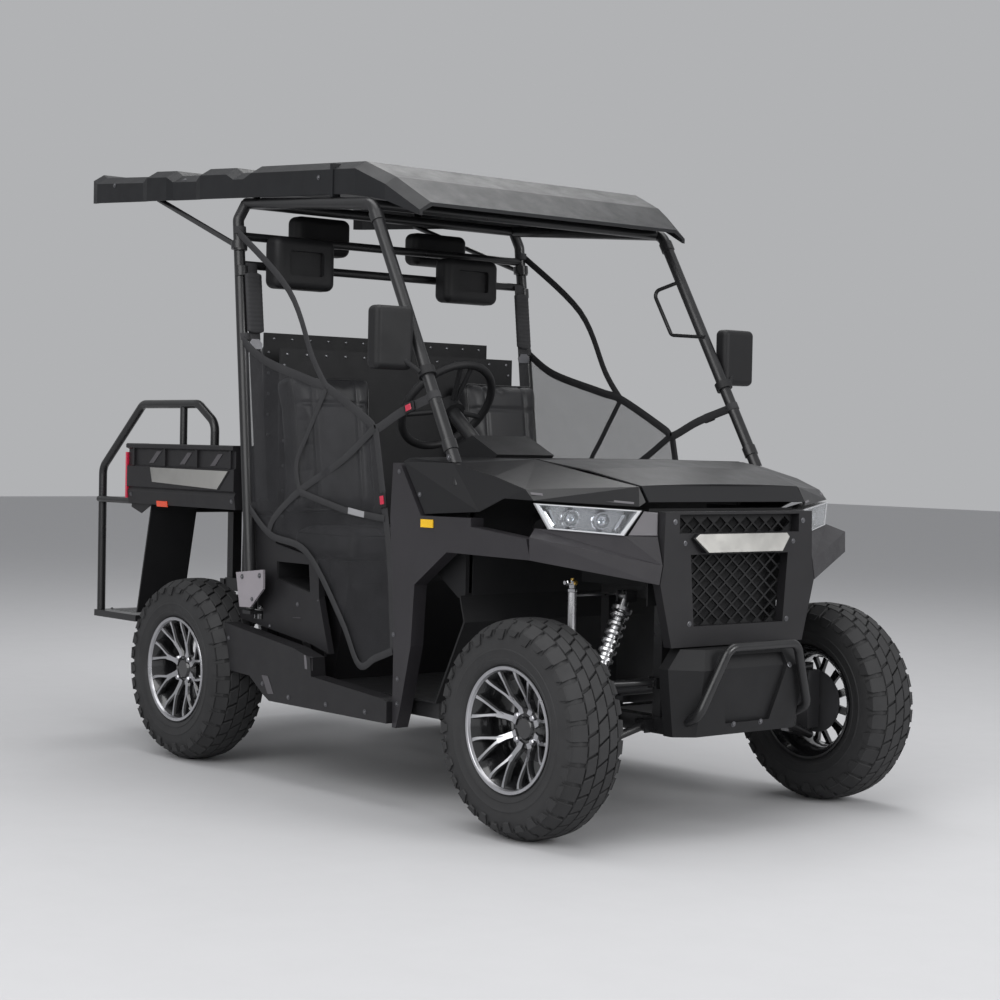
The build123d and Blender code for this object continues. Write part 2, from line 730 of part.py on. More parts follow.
def build_headlights():
    """A lamp housing each side, raked back from the grille, with two reflector bowls in its recess."""
    names = ("lamp_top_in", "lamp_top_out", "lamp_low_out", "lamp_low_in")
    front = [Vector(*right(name)) for name in names]
    back = [point + Vector(-60, 50, -3 if point.Z > 950 else 3) for point in front]
    lamp = ring_block([[tuple(p) for p in front], [tuple(p) for p in back]])
    middle = sum(front, Vector(0, 0, 0)) / 4
    out = (front[1] - front[0]).cross(front[3] - front[0]).normalized()
    if out.X < 0:
        out = out * -1
    mouth = [middle + (point - middle) * 0.88 + out * 3 for point in front]
    floor = [middle + (point - middle) * 0.72 - out * LAMP_DEPTH for point in front]
    lamp = lamp - ring_block([[tuple(p) for p in mouth], [tuple(p) for p in floor]])
    inboard = (front[0] + front[3]) / 2
    outboard = (front[1] + front[2]) / 2
    for share in (0.32, 0.66):
        centre = inboard + (outboard - inboard) * share
        cup = rod(centre - out * (LAMP_DEPTH + 2), centre - out * 16, BOWL_RADIUS)
        hollow = Pos(*(centre - out * 12)) * Sphere(BOWL_RADIUS - 3)
        lamp = lamp + (cup - hollow)
    save("headlights", lamp, left_of(lamp))


def build_fascia():
    """The centre of the front: frame of the grille, badge plate, chin."""
    outline = [
        (-325, 980), (325, 980), (334 - NOSE_SET, 820), (346 - NOSE_SET, 762), (290, 570), (-290, 570),
        (-346 + NOSE_SET, 762), (-334 + NOSE_SET, 820),
    ]
    face = make_face(Polyline(*[(FASCIA_BACK_X, y, z) for y, z in outline], close=True))
    body = extrude(face, amount=32, dir=(1, 0, 0))
    upper = box((1100, -265, 915), (1200, 265, 972))
    lower_face = make_face(Polyline(
        (1100, -216, 850), (1100, 216, 850), (1100, 198, 632), (1100, -198, 632), close=True))
    lower = extrude(lower_face, amount=100, dir=(1, 0, 0))
    body = body - upper - lower
    # Side brackets reach back to the strut towers.
    for side in (-1, 1):
        y = side * RAIL_Y
        tower_x = FRONT_AXLE_X + UPPER_ARM_SPAN + TOWER / 2 + RUN
        body = body + box((tower_x, y - 12, BRACKET_Z - 6), (FASCIA_BACK_X + 1, y + 12, BRACKET_Z + 6))
    save("front_fascia", body)


def build_grille():
    """A moulded lattice of diamond cells behind the two openings of the fascia."""
    low, high, half = 622, 980, 275
    plate = Pos(0, (low + high) / 2) * Rectangle(2 * half, high - low)
    cell_y = (MESH_PITCH_Y - MESH_BAR) / 2
    cell_z = (MESH_PITCH_Z - MESH_BAR) / 2
    rows = int((high - low) / (MESH_PITCH_Z / 2))
    columns = int(half / MESH_PITCH_Y) + 1
    cells = []
    for row in range(1, rows):
        z = low + row * MESH_PITCH_Z / 2
        shift = MESH_PITCH_Y / 2 if row % 2 else 0
        for column in range(-columns, columns + 1):
            y = column * MESH_PITCH_Y + shift
            if abs(y) < half - cell_y and low + cell_z < z < high - cell_z:
                points = [(y - cell_y, z), (y, z - cell_z), (y + cell_y, z), (y, z + cell_z)]
                cells.append(make_face(Polyline(*points, close=True)))
    # Notches let the fascia's brackets through.
    notches = [Pos(side * RAIL_Y, BRACKET_Z) * Rectangle(26, 14) for side in (-1, 1)]
    lattice = plate - cells - notches
    plane = Plane(origin=(FASCIA_BACK_X - RUN, 0, 0), x_dir=(0, 1, 0), z_dir=(1, 0, 0))
    save("grille_mesh", extrude(plane * lattice, amount=-MESH_BAR))


def build_bumper():
    """A moulded skid block with a tube hoop standing in front of it."""
    back_x = RAIL_FRONT_X + RUN
    sections = []
    # Columns: height, front station, half width of the front, half width at the back
    for z, x, front, back in ((300, 1200, 215, 275), (505, 1240, 225, 300), (565, 1215, 200, 250)):
        sections.append([
            (back_x, -back, z), (1160, -back, z), (x, -front, z), (x, front, z), (1160, back, z), (back_x, back, z),
        ])
    block = section_loft(sections[:2]) + section_loft(sections[1:])
    reach = BUMPER_FRONT_X
    bar_z = 575
    # The legs of the hoop stand in two sockets of the block.
    path = [
        (1150, -235, 330), (1236, -240, 372), (reach, -150, bar_z), (reach, 150, bar_z),
        (1236, 240, 372), (1150, 235, 330),
    ]
    hoop = tube(path, BUMPER_TUBE / 2, 45)
    # A wide pocket between two upright ribs
    block = block - section_loft([
        [(front - 14, -half, z), (front + 60, -half - 8, z), (front + 60, half + 8, z), (front - 14, half, z)]
        for z, front, half in ((335, 1206.8, 95), (505, 1240, 140), (545, 1225, 132))
    ])
    save("skid_block", block - tube(path, BUMPER_TUBE / 2 + RUN, 45))
    save("bumper_hoop", hoop)


def steering_axis():
    """The column's direction, from the dash up to the driver."""
    rake = math.radians(WHEEL_RAKE)
    return Vector(-math.cos(rake), 0, math.sin(rake))


def column_bar(radius, start, end):
    """A bar on the column's line between two distances below the steering wheel's centre."""
    hub = Vector(WHEEL_HUB_X, WHEEL_HUB_Y, WHEEL_HUB_Z)
    axis = steering_axis()
    return rod(hub - axis * start, hub - axis * end, radius)


def pillar_stub(radius):
    """The stub that passes from the foot of a front pillar down through the cowl to the dash bar."""
    return rod((DASH_BAR_X, -CAGE_Y - 17, DASH_BAR_Z), (A_FOOT_X + 4, -CAGE_Y - 17, A_FOOT_Z + 6), radius)


def build_dashboard():
    """The dash moulding, the scuttle behind the lid and the driver's instrument hood."""
    profile = [
        (352, 1116), (575, 1070), (575, 700), (540, 690), (400, 780), (352, 960),
    ]
    reach = DASH_HALF_WIDTH
    dash = side_plate(profile, -reach, reach)
    hollow = side_plate(
        [(370, 1098), (576, 1056), (576, 705), (545, 712), (412, 794), (370, 960)], -reach + 15, reach - 15)
    dash = dash - hollow
    scuttle = side_plate([(340, 1118), (340, COWL_Z), (HOOD_REAR_X - 17, COWL_Z), (HOOD_REAR_X - 17, 1124),
                          (560, 1124), (352, 1112)], -460.6, 460.6)
    pod = section_loft([
        [(255, y, 1140), (390, y, 1200), (520, y, 1140), (500, y, 1120), (300, y, 1120)] for y in (-450, -210)
    ])
    body = dash + scuttle + pod
    # Hinge ears and pins of the lid
    for side in (-1, 1):
        for shift in (-23.5, 23.5):
            y = side * HOOD_HINGE_Y + shift
            body = body + box((HOOD_REAR_X - 30, y - 2.5, HOOD_HINGE_Z - 6), (HOOD_REAR_X + 5, y + 2.5, HOOD_HINGE_Z + 1))
            body = body + box((HOOD_REAR_X - 30, y - 2.5, HOOD_HINGE_Z), (HOOD_REAR_X - 20, y + 2.5, COWL_Z - 1))
        body = body + bush((HOOD_REAR_X, side * HOOD_HINGE_Y, HOOD_HINGE_Z), (0, 1, 0), 3.7, 50)
    save("dashboard", body - column_bar(COLUMN_RADIUS + RUN, 40, 660))


def build_cage():
    """A four-post cage with cross tubes, roof side tubes and the passenger's grab handle."""
    r = CAGE_TUBE / 2
    y = CAGE_Y
    cage = None
    for side in (-1, 1):
        a_pillar = tube(
            [
                (A_FOOT_X + 30, side * (y + 19), A_FOOT_Z - 50),
                (A_HEAD_X, side * y, A_HEAD_Z),
                (B_HEAD_X, side * HEADER_Y, B_HEAD_Z),
            ],
            r,
            60,
        )
        a_pillar = a_pillar - box((A_FOOT_X - 100, -800, 900), (A_FOOT_X + 200, 800, A_FOOT_Z))
        b_pillar = tube(
            [
                (B_FOOT_X, side * (y + 18), B_FOOT_Z),
                (B_HEAD_X, side * y, B_HEAD_Z - 60),
                (B_HEAD_X, side * HEADER_Y, B_HEAD_Z),
            ],
            r,
            30,
        )
        side_set = a_pillar + b_pillar
        cage = side_set if cage is None else cage + side_set
    stub = pillar_stub(STUB_RADIUS)
    cage = cage + stub + left_of(stub)
    # Columns: station and height of each cross tube, half length, radius
    for x, z, reach, radius in (
        (A_HEAD_X - 20, A_HEAD_Z, y, 16),
        (B_HEAD_X, B_HEAD_Z, HEADER_Y, 18),
        (-690, UPPER_BAR_Z, y, 15),
        (-680, LOWER_BAR_Z, y, 15),
        (DASH_BAR_X, DASH_BAR_Z, y + 17, 16),
    ):
        cage = cage + rod((x, -reach, z), (x, reach, z), radius)
    handle = tube(
        [(215, y - 8, 1775), (101, y - 30, 1741), (200, y - 30, 1581), (345, y - 5, 1571)], 7, 22)
    cage = cage + handle
    save("roll_cage", cage)


# The roof's top line from the rear to the visor: station, height of the top, how far the sides are drawn in
ROOF_LINE = (
    (ROOF_REAR_X, 2213, 20),
    (-1740, 2196, 8),
    (-1383, 2170, 8),
    (-1340, 2185, 0),
    (-1198, 2175, 0),
    (-1162, 2154, 8),
    (-999, 2143, 8),
    (-958, 2161, 0),
    (-781, 2149, 0),
    (-735, 2127, 0),
    (-668, 2123, 0),
    (-617, 2140, 0),
    (9, 2101, 0),
    (150, 2040, 20),
    (ROOF_FRONT_X, 1950, 60),
)

# The roof's lower edge: station, height
SKIRT_LINE = ((ROOF_REAR_X, 2096), (9, 1990), (150, 1960), (ROOF_FRONT_X, 1905))


def skirt_z(x):
    """Height of the roof's lower edge at one station."""
    for (x0, z0), (x1, z1) in zip(SKIRT_LINE, SKIRT_LINE[1:]):
        if x <= x1:
            return z0 + (z1 - z0) * (x - x0) / (x1 - x0)


def build_roof():
    """The long moulded roof: a shallow inverted tray with pressed cross bands, seated on the cage."""
    stations = [(x, top, skirt_z(x), ROOF_HALF_WIDTH - inset) for x, top, inset in ROOF_LINE]
    outer = None
    inner = None
    for start, end in zip(stations, stations[1:]):
        outer_part = section_loft([roof_section(s, 0) for s in (start, end)])
        inner_part = section_loft([roof_section(s, ROOF_THICK) for s in (start, end)])
        outer = outer_part if outer is None else outer + outer_part
        inner = inner_part if inner is None else inner + inner_part
    roof = outer - inner
    # Moulded feet rest on the side tubes, and two more take the struts.
    for side in (-1, 1):
        for x in (-120, -640):
            share = (x - A_HEAD_X) / (B_HEAD_X - A_HEAD_X)
            tube_z = A_HEAD_Z + (B_HEAD_Z - A_HEAD_Z) * share
            tube_y = side * (CAGE_Y + (HEADER_Y - CAGE_Y) * share)
            low = tube_z + CAGE_TUBE / 2 + 0.9
            roof = roof + box((x - 8, tube_y - 16, low), (x + 8, tube_y + 16, 2100))
        y = side * STRUT_ROOF_Y
        roof = roof + box((STRUT_ROOF_X - 22, y - 18, STRUT_ROOF_Z + 6 + RUN), (STRUT_ROOF_X + 22, y + 18, 2170))
    save("roof_panel", roof)


def roof_section(station, wall):
    """One cross-section of the roof tray; a wall above zero gives the hollow inside it."""
    x, top, low, half = station
    if wall:
        low = low - 2
    return [
        (x, -half + wall, low), (x, -half + wall, top - 28 - wall * 0.4),
        (x, -half + 45 + wall * 0.6, top - wall), (x, half - 45 - wall * 0.6, top - wall),
        (x, half - wall, top - 28 - wall * 0.4), (x, half - wall, low),
    ]


def build_roof_struts():
    """Two braces from clamps on the rear posts out to the roof's overhang."""
    top = Vector(B_HEAD_X, -CAGE_Y, B_HEAD_Z - 60)
    foot = Vector(B_FOOT_X, -CAGE_Y - 18, B_FOOT_Z)
    axis = (foot - top).normalized()
    middle = top + axis * (B_HEAD_Z - 60 - UPPER_BAR_Z + 32)
    clamp = rod(middle - axis * 14, middle + axis * 14, CAGE_TUBE / 2 + 9)
    clamp = clamp - rod(middle - axis * 20, middle + axis * 20, CAGE_TUBE / 2 + RUN)
    start = middle + Vector(-CAGE_TUBE / 2 - 7, 0, 2)
    strut = rod(start, (STRUT_ROOF_X, -STRUT_ROOF_Y, STRUT_ROOF_Z - 6), 10)
    pad = box((STRUT_ROOF_X - 24, -STRUT_ROOF_Y - 18, STRUT_ROOF_Z), (STRUT_ROOF_X + 20, -STRUT_ROOF_Y + 18, STRUT_ROOF_Z + 6))
    brace = clamp + strut + pad
    save("roof_struts", brace, left_of(brace))


def bush(centre, axis, radius, length):
    """A short round sleeve about an axis through its middle."""
    half = Vector(*axis) * (length / 2)
    centre = Vector(*centre)
    return rod(centre - half, centre + half, radius)


def cushion(low, high, radius):
    """A plain rounded block that stands for an upholstered piece."""
    body = box(low, high)
    return fillet(body.edges(), radius)


def build_seats():
    """Front bench and its backs, the rear-facing seat with its base and its backboard."""
    # Columns: low and high Y of each front seat
    places = ((-SEAT_HALF_WIDTH, -15), (15, SEAT_HALF_WIDTH))
    cushions = [cushion((SEAT_REAR_X, low, SEAT_BASE_TOP_Z + RUN), (SEAT_FRONT_X, high, SEAT_TOP_Z), 30) for low, high in places]
    save("front_seat_cushions", *cushions)
    backs = []
    half = SEAT_BACK_THICK / 2
    rise = SEAT_BACK_TOP_Z - SEAT_TOP_Z - 25
    for low, high in ((-585, -205), (205, 585)):
        back = cushion((-half, low, 0), (half, high, rise), 35)
        backs.append(Pos(-463.3, 0, SEAT_TOP_Z + 25) * Rot(0, -SEAT_BACK_RAKE, 0) * back)
    save("front_seat_backs", *backs)
    # The bulkhead stands on the seat base and leans on the lower cross tube's brackets.
    bulkhead = box((-600, -540, SEAT_BASE_TOP_Z + RUN), (-592, 540, 1500))
    save("bulkhead", bulkhead)
    base_top = 1000
    rear_base = box((-1280, -500, BED_FLOOR_Z + SKIN + RUN), (-850, 500, base_top))
    save("rear_seat_base", rear_base)
    save("rear_seat_cushion", cushion((-1290, -520, base_top + RUN), (-840, 520, 1105), 30))
    # The padded back stands on a board that rises from the bed.
    board_x = -735
    board = box((board_x, -520, BED_FLOOR_Z + SKIN + RUN), (board_x + 10, 520, 1560))
    save("rear_seat_board", board)
    save("rear_seat_back", cushion((board_x - 90, -510, 1120), (board_x - RUN, 510, 1545), 35))


def build_headrests():
    """Four moulded head blocks on brackets from the cross tubes."""
    # Columns: station, side position, height of the centre, half width, half height, station and height of the tube
    blocks = []
    for x, y, z, half_y, half_z, bar_x, bar_z in (
        (-600, -457, 1803, 129, 92, -680, LOWER_BAR_Z),
        (-600, 310, 1790, 128, 84, -680, LOWER_BAR_Z),
        (-800, -238, 1930, 120, 70, -690, UPPER_BAR_Z),
        (-800, 313, 1920, 128, 62, -690, UPPER_BAR_Z),
    ):
        block = cushion((x - 45, y - half_y, z - half_z), (x + 45, y + half_y, z + half_z), 28)
        # A shallow window in the face that the rider's head meets
        face = 45 if x > bar_x else -45
        window = Pos(x + face, y, z) * Box(36, 1.15 * half_y, 0.95 * half_z)
        block = block - fillet(window.edges().filter_by(Axis.X), 12)
        toward = 1 if x > bar_x else -1
        near = bar_x + toward * (15 + RUN)
        low, high = sorted((near, x))
        stem = box((low, y - 30, bar_z - 12), (high, y + 30, bar_z + 12))
        blocks.append(block + stem)
    save("headrests", *blocks)


def build_bed():
    """The cargo bed: floor, side walls with a rolled rail, corner posts, and a drop tailgate."""
    x0, x1 = BED_REAR_X, BED_FRONT_X
    y = BED_HALF_WIDTH
    tub = box((x0, -y + 40, BED_FLOOR_Z - SKIN), (x1, y - 40, BED_TOP_Z))
    # Each side is one pressing: rolled rail, panel band, badge swell, moulding line and tucked-in foot.
    side = [
        (y - 40, BED_TOP_Z), (y - 4, BED_TOP_Z), (y, BED_TOP_Z - 4), (y, BED_TOP_Z - 16), (y - 14, BED_TOP_Z - 22),
        (y - 14, 1068), (y - 5, 1062), (y - 5, 986), (y - 14, 980), (y - 8, 966), (y - 14, BED_FLOOR_Z - SKIN),
        (y - 40, BED_FLOOR_Z - SKIN),
    ]
    for sign in (-1, 1):
        face = make_face(Polyline(*[(x0, sign * across, z) for across, z in side], close=True))
        tub = tub + extrude(face, amount=x1 - x0, dir=(1, 0, 0))
        # Three pressed panels with an upright rib between each two
        for k in range(4):
            rib_x = x0 + 45 + k * (x1 - x0 - 75) / 3
            low, high = sorted((sign * (y - 16), sign * (y - 6)))
            tub = tub + box((rib_x - 7, low, 1066), (rib_x + 7, high, BED_TOP_Z - 18))
    # A skirt hangs below the floor ahead of the rear corner.
    skirt = side_plate([(x0 + 2, BED_FLOOR_Z), (x0 + 2, 905), (x0 + 75, 884), (x0 + 150, BED_FLOOR_Z - 6)], -664, -659)
    tub = tub + skirt + left_of(skirt)
    tub = tub - box((x0 + 26, -y + BED_WALL, BED_FLOOR_Z + SKIN), (x1 - BED_WALL, y - BED_WALL, BED_TOP_Z + 1))
    gate_y = TAILGATE_HALF_WIDTH
    tub = tub - box((x0 - 1, -gate_y - SWING, BED_FLOOR_Z - SKIN - 1), (x0 + 42, gate_y + SWING, BED_TOP_Z + 1))
    hinge = (x0 + 14, TAILGATE_HINGE_Z)
    gate = box((hinge[0] - 11, -gate_y, hinge[1] + 14), (hinge[0] + 11, gate_y, TAILGATE_TOP_Z))
    for side in (-1, 1):
        middle = (hinge[0], side * 420, hinge[1])
        gate = gate + bush(middle, (0, 1, 0), 9, 60) + box(
            (hinge[0] - 4, side * 420 - 30, hinge[1]), (hinge[0] + 4, side * 420 + 30, hinge[1] + 15))
        gate = gate - bush(middle, (0, 1, 0), 5.3, 62)
        for shift in (-34, 34):
            ear_y = side * 420 + shift
            tub = tub + box((hinge[0] - 8, ear_y - 3.7, BED_FLOOR_Z - SKIN), (x0 + 43, ear_y + 3.7, hinge[1] + 7))
        tub = tub + bush(middle, (0, 1, 0), 5, 70)
    # A pressed panel across the outside of the gate
    gate = gate - box((hinge[0] - 12, -gate_y + 60, hinge[1] + 45), (hinge[0] - 7, gate_y - 60, TAILGATE_TOP_Z - 30))
    save("cargo_bed", tub)
    save("tailgate", gate)
    lamp = box((BED_REAR_X - 12, -685, 940), (BED_REAR_X - RUN, -618, 1115))
    save("tail_lights", lamp, left_of(lamp))


def build_rear_kit():
    """Two armrest hoops that run down behind the bed to the foot step."""
    hoops = []
    for side in (-1, 1):
        y = side * KIT_Y
        hoop = tube(
            [
                (-925, y, BED_FLOOR_Z + SKIN + RUN), (-925, y, 1230), (-1040, y, 1300), (-1445, y, 1300),
                (KIT_REAR_X, y, 1050), (KIT_REAR_X, y, STEP_Z + RUN),
            ],
            KIT_TUBE / 2,
            55,
        )
        leg = rod((-1145, y, BED_FLOOR_Z + SKIN + RUN), (-1145, y, 1292), 14)
        link_y = side * (TAILGATE_HALF_WIDTH + SWING + 13)
        link = rod((KIT_REAR_X + 4, link_y, LINK_Z), (BED_REAR_X - RUN, link_y, LINK_Z), 12)
        hoops.append(hoop + leg + link)
    save("rear_hoops", *hoops)
    step_rear = KIT_REAR_X - KIT_TUBE / 2 - 4
    step = box((step_rear, -KIT_Y - 20, STEP_Z - 25), (STEP_FRONT_X, KIT_Y + 20, STEP_Z))
    groove_count = 9
    groove_pitch = (STEP_FRONT_X - step_rear - 70) / (groove_count - 1)
    for k in range(groove_count):
        x = STEP_FRONT_X - 20 - k * groove_pitch
        step = step - box((x - 6, -KIT_Y + 30, STEP_Z - 3), (x + 6, KIT_Y - 30, STEP_Z + 1))
    arm = box((STEP_FRONT_X - 1, -260, STEP_Z - 40), (RAIL_REAR_X, -210, STEP_Z - 5))
    hanger = box((RAIL_REAR_X - 30, -260, STEP_Z - 40), (RAIL_REAR_X - RUN, -210, REAR_RAIL_Z + 20))
    save("foot_step", step + arm + left_of(arm) + hanger + left_of(hanger))


def build_mudguards():
    """The black plates that hang behind the rear wheels."""
    guard = section_loft([
        [(x, -650, z), (x + 8, -650, z), (x + 8, -450, z), (x, -450, z)]
        for x, z in ((-1290, BED_FLOOR_Z - SKIN - RUN), (-1390, 500))
    ])
    save("mudguards", guard, left_of(guard))


def build_mirrors():
    """A mirror head on a short arm each side, clamped to the front pillar."""
    head = cushion((345, -850, 1400), (405, -700, 1600), 20)
    head = head - box((340, -834, 1416), (349, -716, 1584))
    foot = Vector(A_FOOT_X + 30, -CAGE_Y - 19, A_FOOT_Z - 50)
    top = Vector(A_HEAD_X, -CAGE_Y, A_HEAD_Z)
    axis = (top - foot).normalized()
    middle = foot + axis * ((1395 - foot.Z) / axis.Z)
    clamp = rod(middle - axis * 14, middle + axis * 14, CAGE_TUBE / 2 + 9)
    clamp = clamp - rod(middle - axis * 20, middle + axis * 20, CAGE_TUBE / 2 + RUN)
    arm = rod(middle + Vector(0, -CAGE_TUBE / 2 - 8, 0), (385, -760, 1450), 8)
    save("mirrors", head + arm + clamp, left_of(head + arm + clamp))


def build_steering():
    """Column, wheel, rack and tie rods."""
    axis = steering_axis()
    hub = Vector(WHEEL_HUB_X, WHEEL_HUB_Y, WHEEL_HUB_Z)
    plane = Plane(origin=hub, z_dir=axis, x_dir=(0, 1, 0))
    ring = plane * Torus(STEER_RING_RADIUS, STEER_RING_TUBE)
    boss = plane * Pos(0, 0, -22) * Cylinder(42, 44)
    wheel = ring + boss
    for angle in (15, 165, 262, 278):
        turn = math.radians(angle)
        rim_point = plane.from_local_coords(Vector(165 * math.cos(turn), 165 * math.sin(turn), 0))
        hub_point = plane.from_local_coords(Vector(30 * math.cos(turn), 30 * math.sin(turn), -22))
        wheel = wheel + rod(hub_point, rim_point, 9)
    save("steering_wheel", wheel)
    save("steering_column", column_bar(COLUMN_RADIUS, 44 + RUN, 620))
    reach = RACK_HALF_LENGTH
    rack = rod((RACK_X, -reach, RACK_Z), (RACK_X, reach, RACK_Z), 26)
    rack = rack - rod((RACK_X, -reach - 1, RACK_Z), (RACK_X, reach + 1, RACK_Z), RACK_BAR_RADIUS + 0.05)
    # The clamps of the rack stand on the frame's second cross member.
    clamps = [box((RACK_X - 15, y - 15, RAIL_Z + RAIL / 2 + RUN), (RACK_X + 30, y + 15, RACK_Z - 20)) for y in (-150, 150)]
    save("steering_rack", rack + clamps[0] + clamps[1])
    bar = rod((RACK_X, -reach - 85, RACK_Z), (RACK_X, reach + 85, RACK_Z), RACK_BAR_RADIUS)
    arm_x = FRONT_AXLE_X - STEER_ARM
    link = rod((RACK_X, -reach - 80, RACK_Z), (arm_x, -STEER_ARM_Y, ROD_END_Z), 8)
    ball = rod((arm_x, -STEER_ARM_Y, ROD_END_Z - 10), (arm_x, -STEER_ARM_Y, ROD_END_Z + 14), 12)
    side = link + ball
    save("tie_rods", bar + side + left_of(side))


def build_front_suspension():
    """Double arms, coil-over struts and knuckles with drilled discs."""
    x = FRONT_AXLE_X
    along = (1, 0, 0)
    lower = rod((x - 20, -KINGPIN_Y, LOWER_BALL_Z), (x + 20, -KINGPIN_Y, LOWER_BALL_Z), 9)
    upper = rod((x - 14, -KINGPIN_Y, UPPER_BALL_Z), (x + 14, -KINGPIN_Y, UPPER_BALL_Z), 9)
    for side in (-1, 1):
        pivot = (x + side * LOWER_ARM_SPAN, LOWER_PIVOT_Y, LOWER_PIVOT_Z)
        lower = lower + bush(pivot, along, 17, 40)
        lower = lower + rod(pivot, (x + side * 20, -KINGPIN_Y + 8, LOWER_BALL_Z), 13)
        pivot = (x + side * UPPER_ARM_SPAN, UPPER_PIVOT_Y, UPPER_PIVOT_Z)
        upper = upper + bush(pivot, along, 13, 26)
        upper = upper + rod(pivot, (x + side * 12, -KINGPIN_Y + 8, UPPER_BALL_Z), 10)
    # Ball housings meet the ends of the knuckle on the kingpin's line.
    lower = lower + Pos(x, -KINGPIN_Y, LOWER_JOINT_Z - 18 - RUN - 15) * Cylinder(20, 30)
    upper = upper + Pos(x, -KINGPIN_Y, UPPER_JOINT_Z + 18 + RUN + 12) * Cylinder(17, 24)
    foot_y = STRUT_FOOT_Y
    share = (foot_y - LOWER_PIVOT_Y) / (-KINGPIN_Y + 8 - LOWER_PIVOT_Y)
    foot_z = LOWER_PIVOT_Z + (LOWER_BALL_Z - LOWER_PIVOT_Z) * share
    foot = (x, foot_y, foot_z)
    half_gap = LOWER_ARM_SPAN + (20 - LOWER_ARM_SPAN) * share
    lower = lower + bush(foot, along, PIN_RADIUS, 2 * half_gap)
    save("front_arms", lower, upper, left_of(lower), left_of(upper))
    head = (x, STRUT_HEAD_Y, STRUT_HEAD_Z)
    strut = coil_strut(head, foot, along, 34)
    # The damper's gas reservoir stands behind it on a bracket from the tower beam.
    can_x = x - 90
    can = rod((can_x, -415, 584), (can_x, -415, 722), 14)
    bracket = box((can_x - 12, -406, 709), (can_x + 12, -RAIL_Y - TOWER / 2 - RUN, 715))
    can = can + bracket
    save("front_struts", strut, can, left_of(strut), left_of(can))
    upright = box((x - 25, -KINGPIN_Y - 30, LOWER_JOINT_Z - 18), (x + 25, -KINGPIN_Y + 26, UPPER_JOINT_Z + 18))
    hub_back = -(WHEEL_Y + RIM_WIDTH / 2 - FRONT_HUB_DEPTH - HUB_THICK)
    spindle = rod((x, -KINGPIN_Y, TYRE_RADIUS), (x, hub_back + RUN, TYRE_RADIUS), 24)
    disc = disc_y((x, TYRE_RADIUS), -KINGPIN_Y - 42, -KINGPIN_Y - 37, 105)
    arm = box((x - STEER_ARM - 14, -KINGPIN_Y + 8, ROD_END_Z + 16), (x, -KINGPIN_Y + 26, ROD_END_Z + 32))
    body = upright + spindle + disc + arm
    save("knuckle_right", body)
    save("knuckle_left", left_of(body))


def coil_strut(head, foot, axis, length):
    """A damper with an eye at each end, its spring drawn as stacked turns between two collars."""
    head = Vector(*head)
    foot = Vector(*foot)
    line = (foot - head).normalized()
    reach = (foot - head).length
    top = 52
    low = reach * 0.62
    body = rod(head + line * 12, foot - line * 12, 13)
    body = body + rod(head + line * 40, head + line * top, SPRING_RADIUS) + rod(
        head + line * low, head + line * (low + 12), SPRING_RADIUS)
    # Half section of the turns: distance down the damper, radius
    pitch = (low - top) / SPRING_TURNS
    section = [(top, 10)]
    for k in range(SPRING_TURNS):
        start = top + k * pitch
        section += [(start + 0.15 * pitch, SPRING_RADIUS - 12), (start + 0.35 * pitch, SPRING_RADIUS - 3),
                    (start + 0.65 * pitch, SPRING_RADIUS - 3), (start + 0.85 * pitch, SPRING_RADIUS - 12)]
    section += [(low, 10)]
    plane = Plane(origin=head, x_dir=line, z_dir=Vector(*axis))
    outline = [plane.from_local_coords(Vector(along, out, 0)) for along, out in section]
    body = body + revolve(make_face(Polyline(*outline, close=True)), axis=Axis(head, line))
    for end in (head, foot):
        body = body + bush(end, axis, 16, length)
    for end in (head, foot):
        body = body - bush(end, axis, PIN_RADIUS + RUN, length + 2)
    return body


def build_rear_axle():
    """A rigid axle on two trailing arms with its struts, engine and silencer."""
    reach = WHEEL_Y + RIM_WIDTH / 2 - REAR_HUB_DEPTH - HUB_THICK - RUN
    across = (0, 1, 0)
    axle = rod((REAR_AXLE_X, -reach, TYRE_RADIUS), (REAR_AXLE_X, reach, TYRE_RADIUS), 30)
    housing = disc_y((REAR_AXLE_X, TYRE_RADIUS), -70, 70, 95)
    axle = axle + housing
    foot = (REAR_AXLE_X - 55, -REAR_ARM_Y, TYRE_RADIUS + 15)
    for side in (-1, 1):
        y = -REAR_ARM_Y + side * 18
        ear = box((foot[0] - 16, y - 2.5, foot[2] - 16), (REAR_AXLE_X - 15, y + 2.5, foot[2] + 16))
        axle = axle + ear + left_of(ear)
    pin = bush(foot, across, PIN_RADIUS, 36)
    axle = axle + pin + left_of(pin)
    save("rear_axle", axle)
    pivot = (REAR_ARM_X, -REAR_ARM_Y, RAIL_Z)
    saddle = (REAR_AXLE_X, -REAR_ARM_Y - 50, TYRE_RADIUS)
    arm = bush(pivot, across, 18, 44) + rod(pivot, saddle, 17) + bush(saddle, across, 42, 36)
    arm = arm - bush(saddle, across, 30 + RUN, 140)
    save("rear_arms", arm, left_of(arm))
    strut = coil_strut((REAR_STRUT_X, -REAR_ARM_Y, STRUT_BEAM_Z - 22), foot, across, 30)
    save("rear_struts", strut, left_of(strut))
    engine = box((-640, -180, 380), (-300, 180, 640))
    rail_top = RAIL_Z + RAIL / 2 + RUN
    for x in (-480, -350):
        engine = engine + box((x - 20, -RAIL_Y - 15, rail_top), (x + 20, RAIL_Y + 15, rail_top + 35))
    save("engine_block", engine)
    silencer = rod((-1200, -190, 480), (-1200, 190, 480), 60)
    for y in (-RAIL_Y, RAIL_Y):
        strap = box((-1212, y - 12, 470), (-1188, y + 12, REAR_RAIL_Z - RAIL / 2 - RUN))
        silencer = silencer + strap + rod((-1200, y, 480), (-1200, y * 0.7, 480), 8)
    save("silencer", silencer)


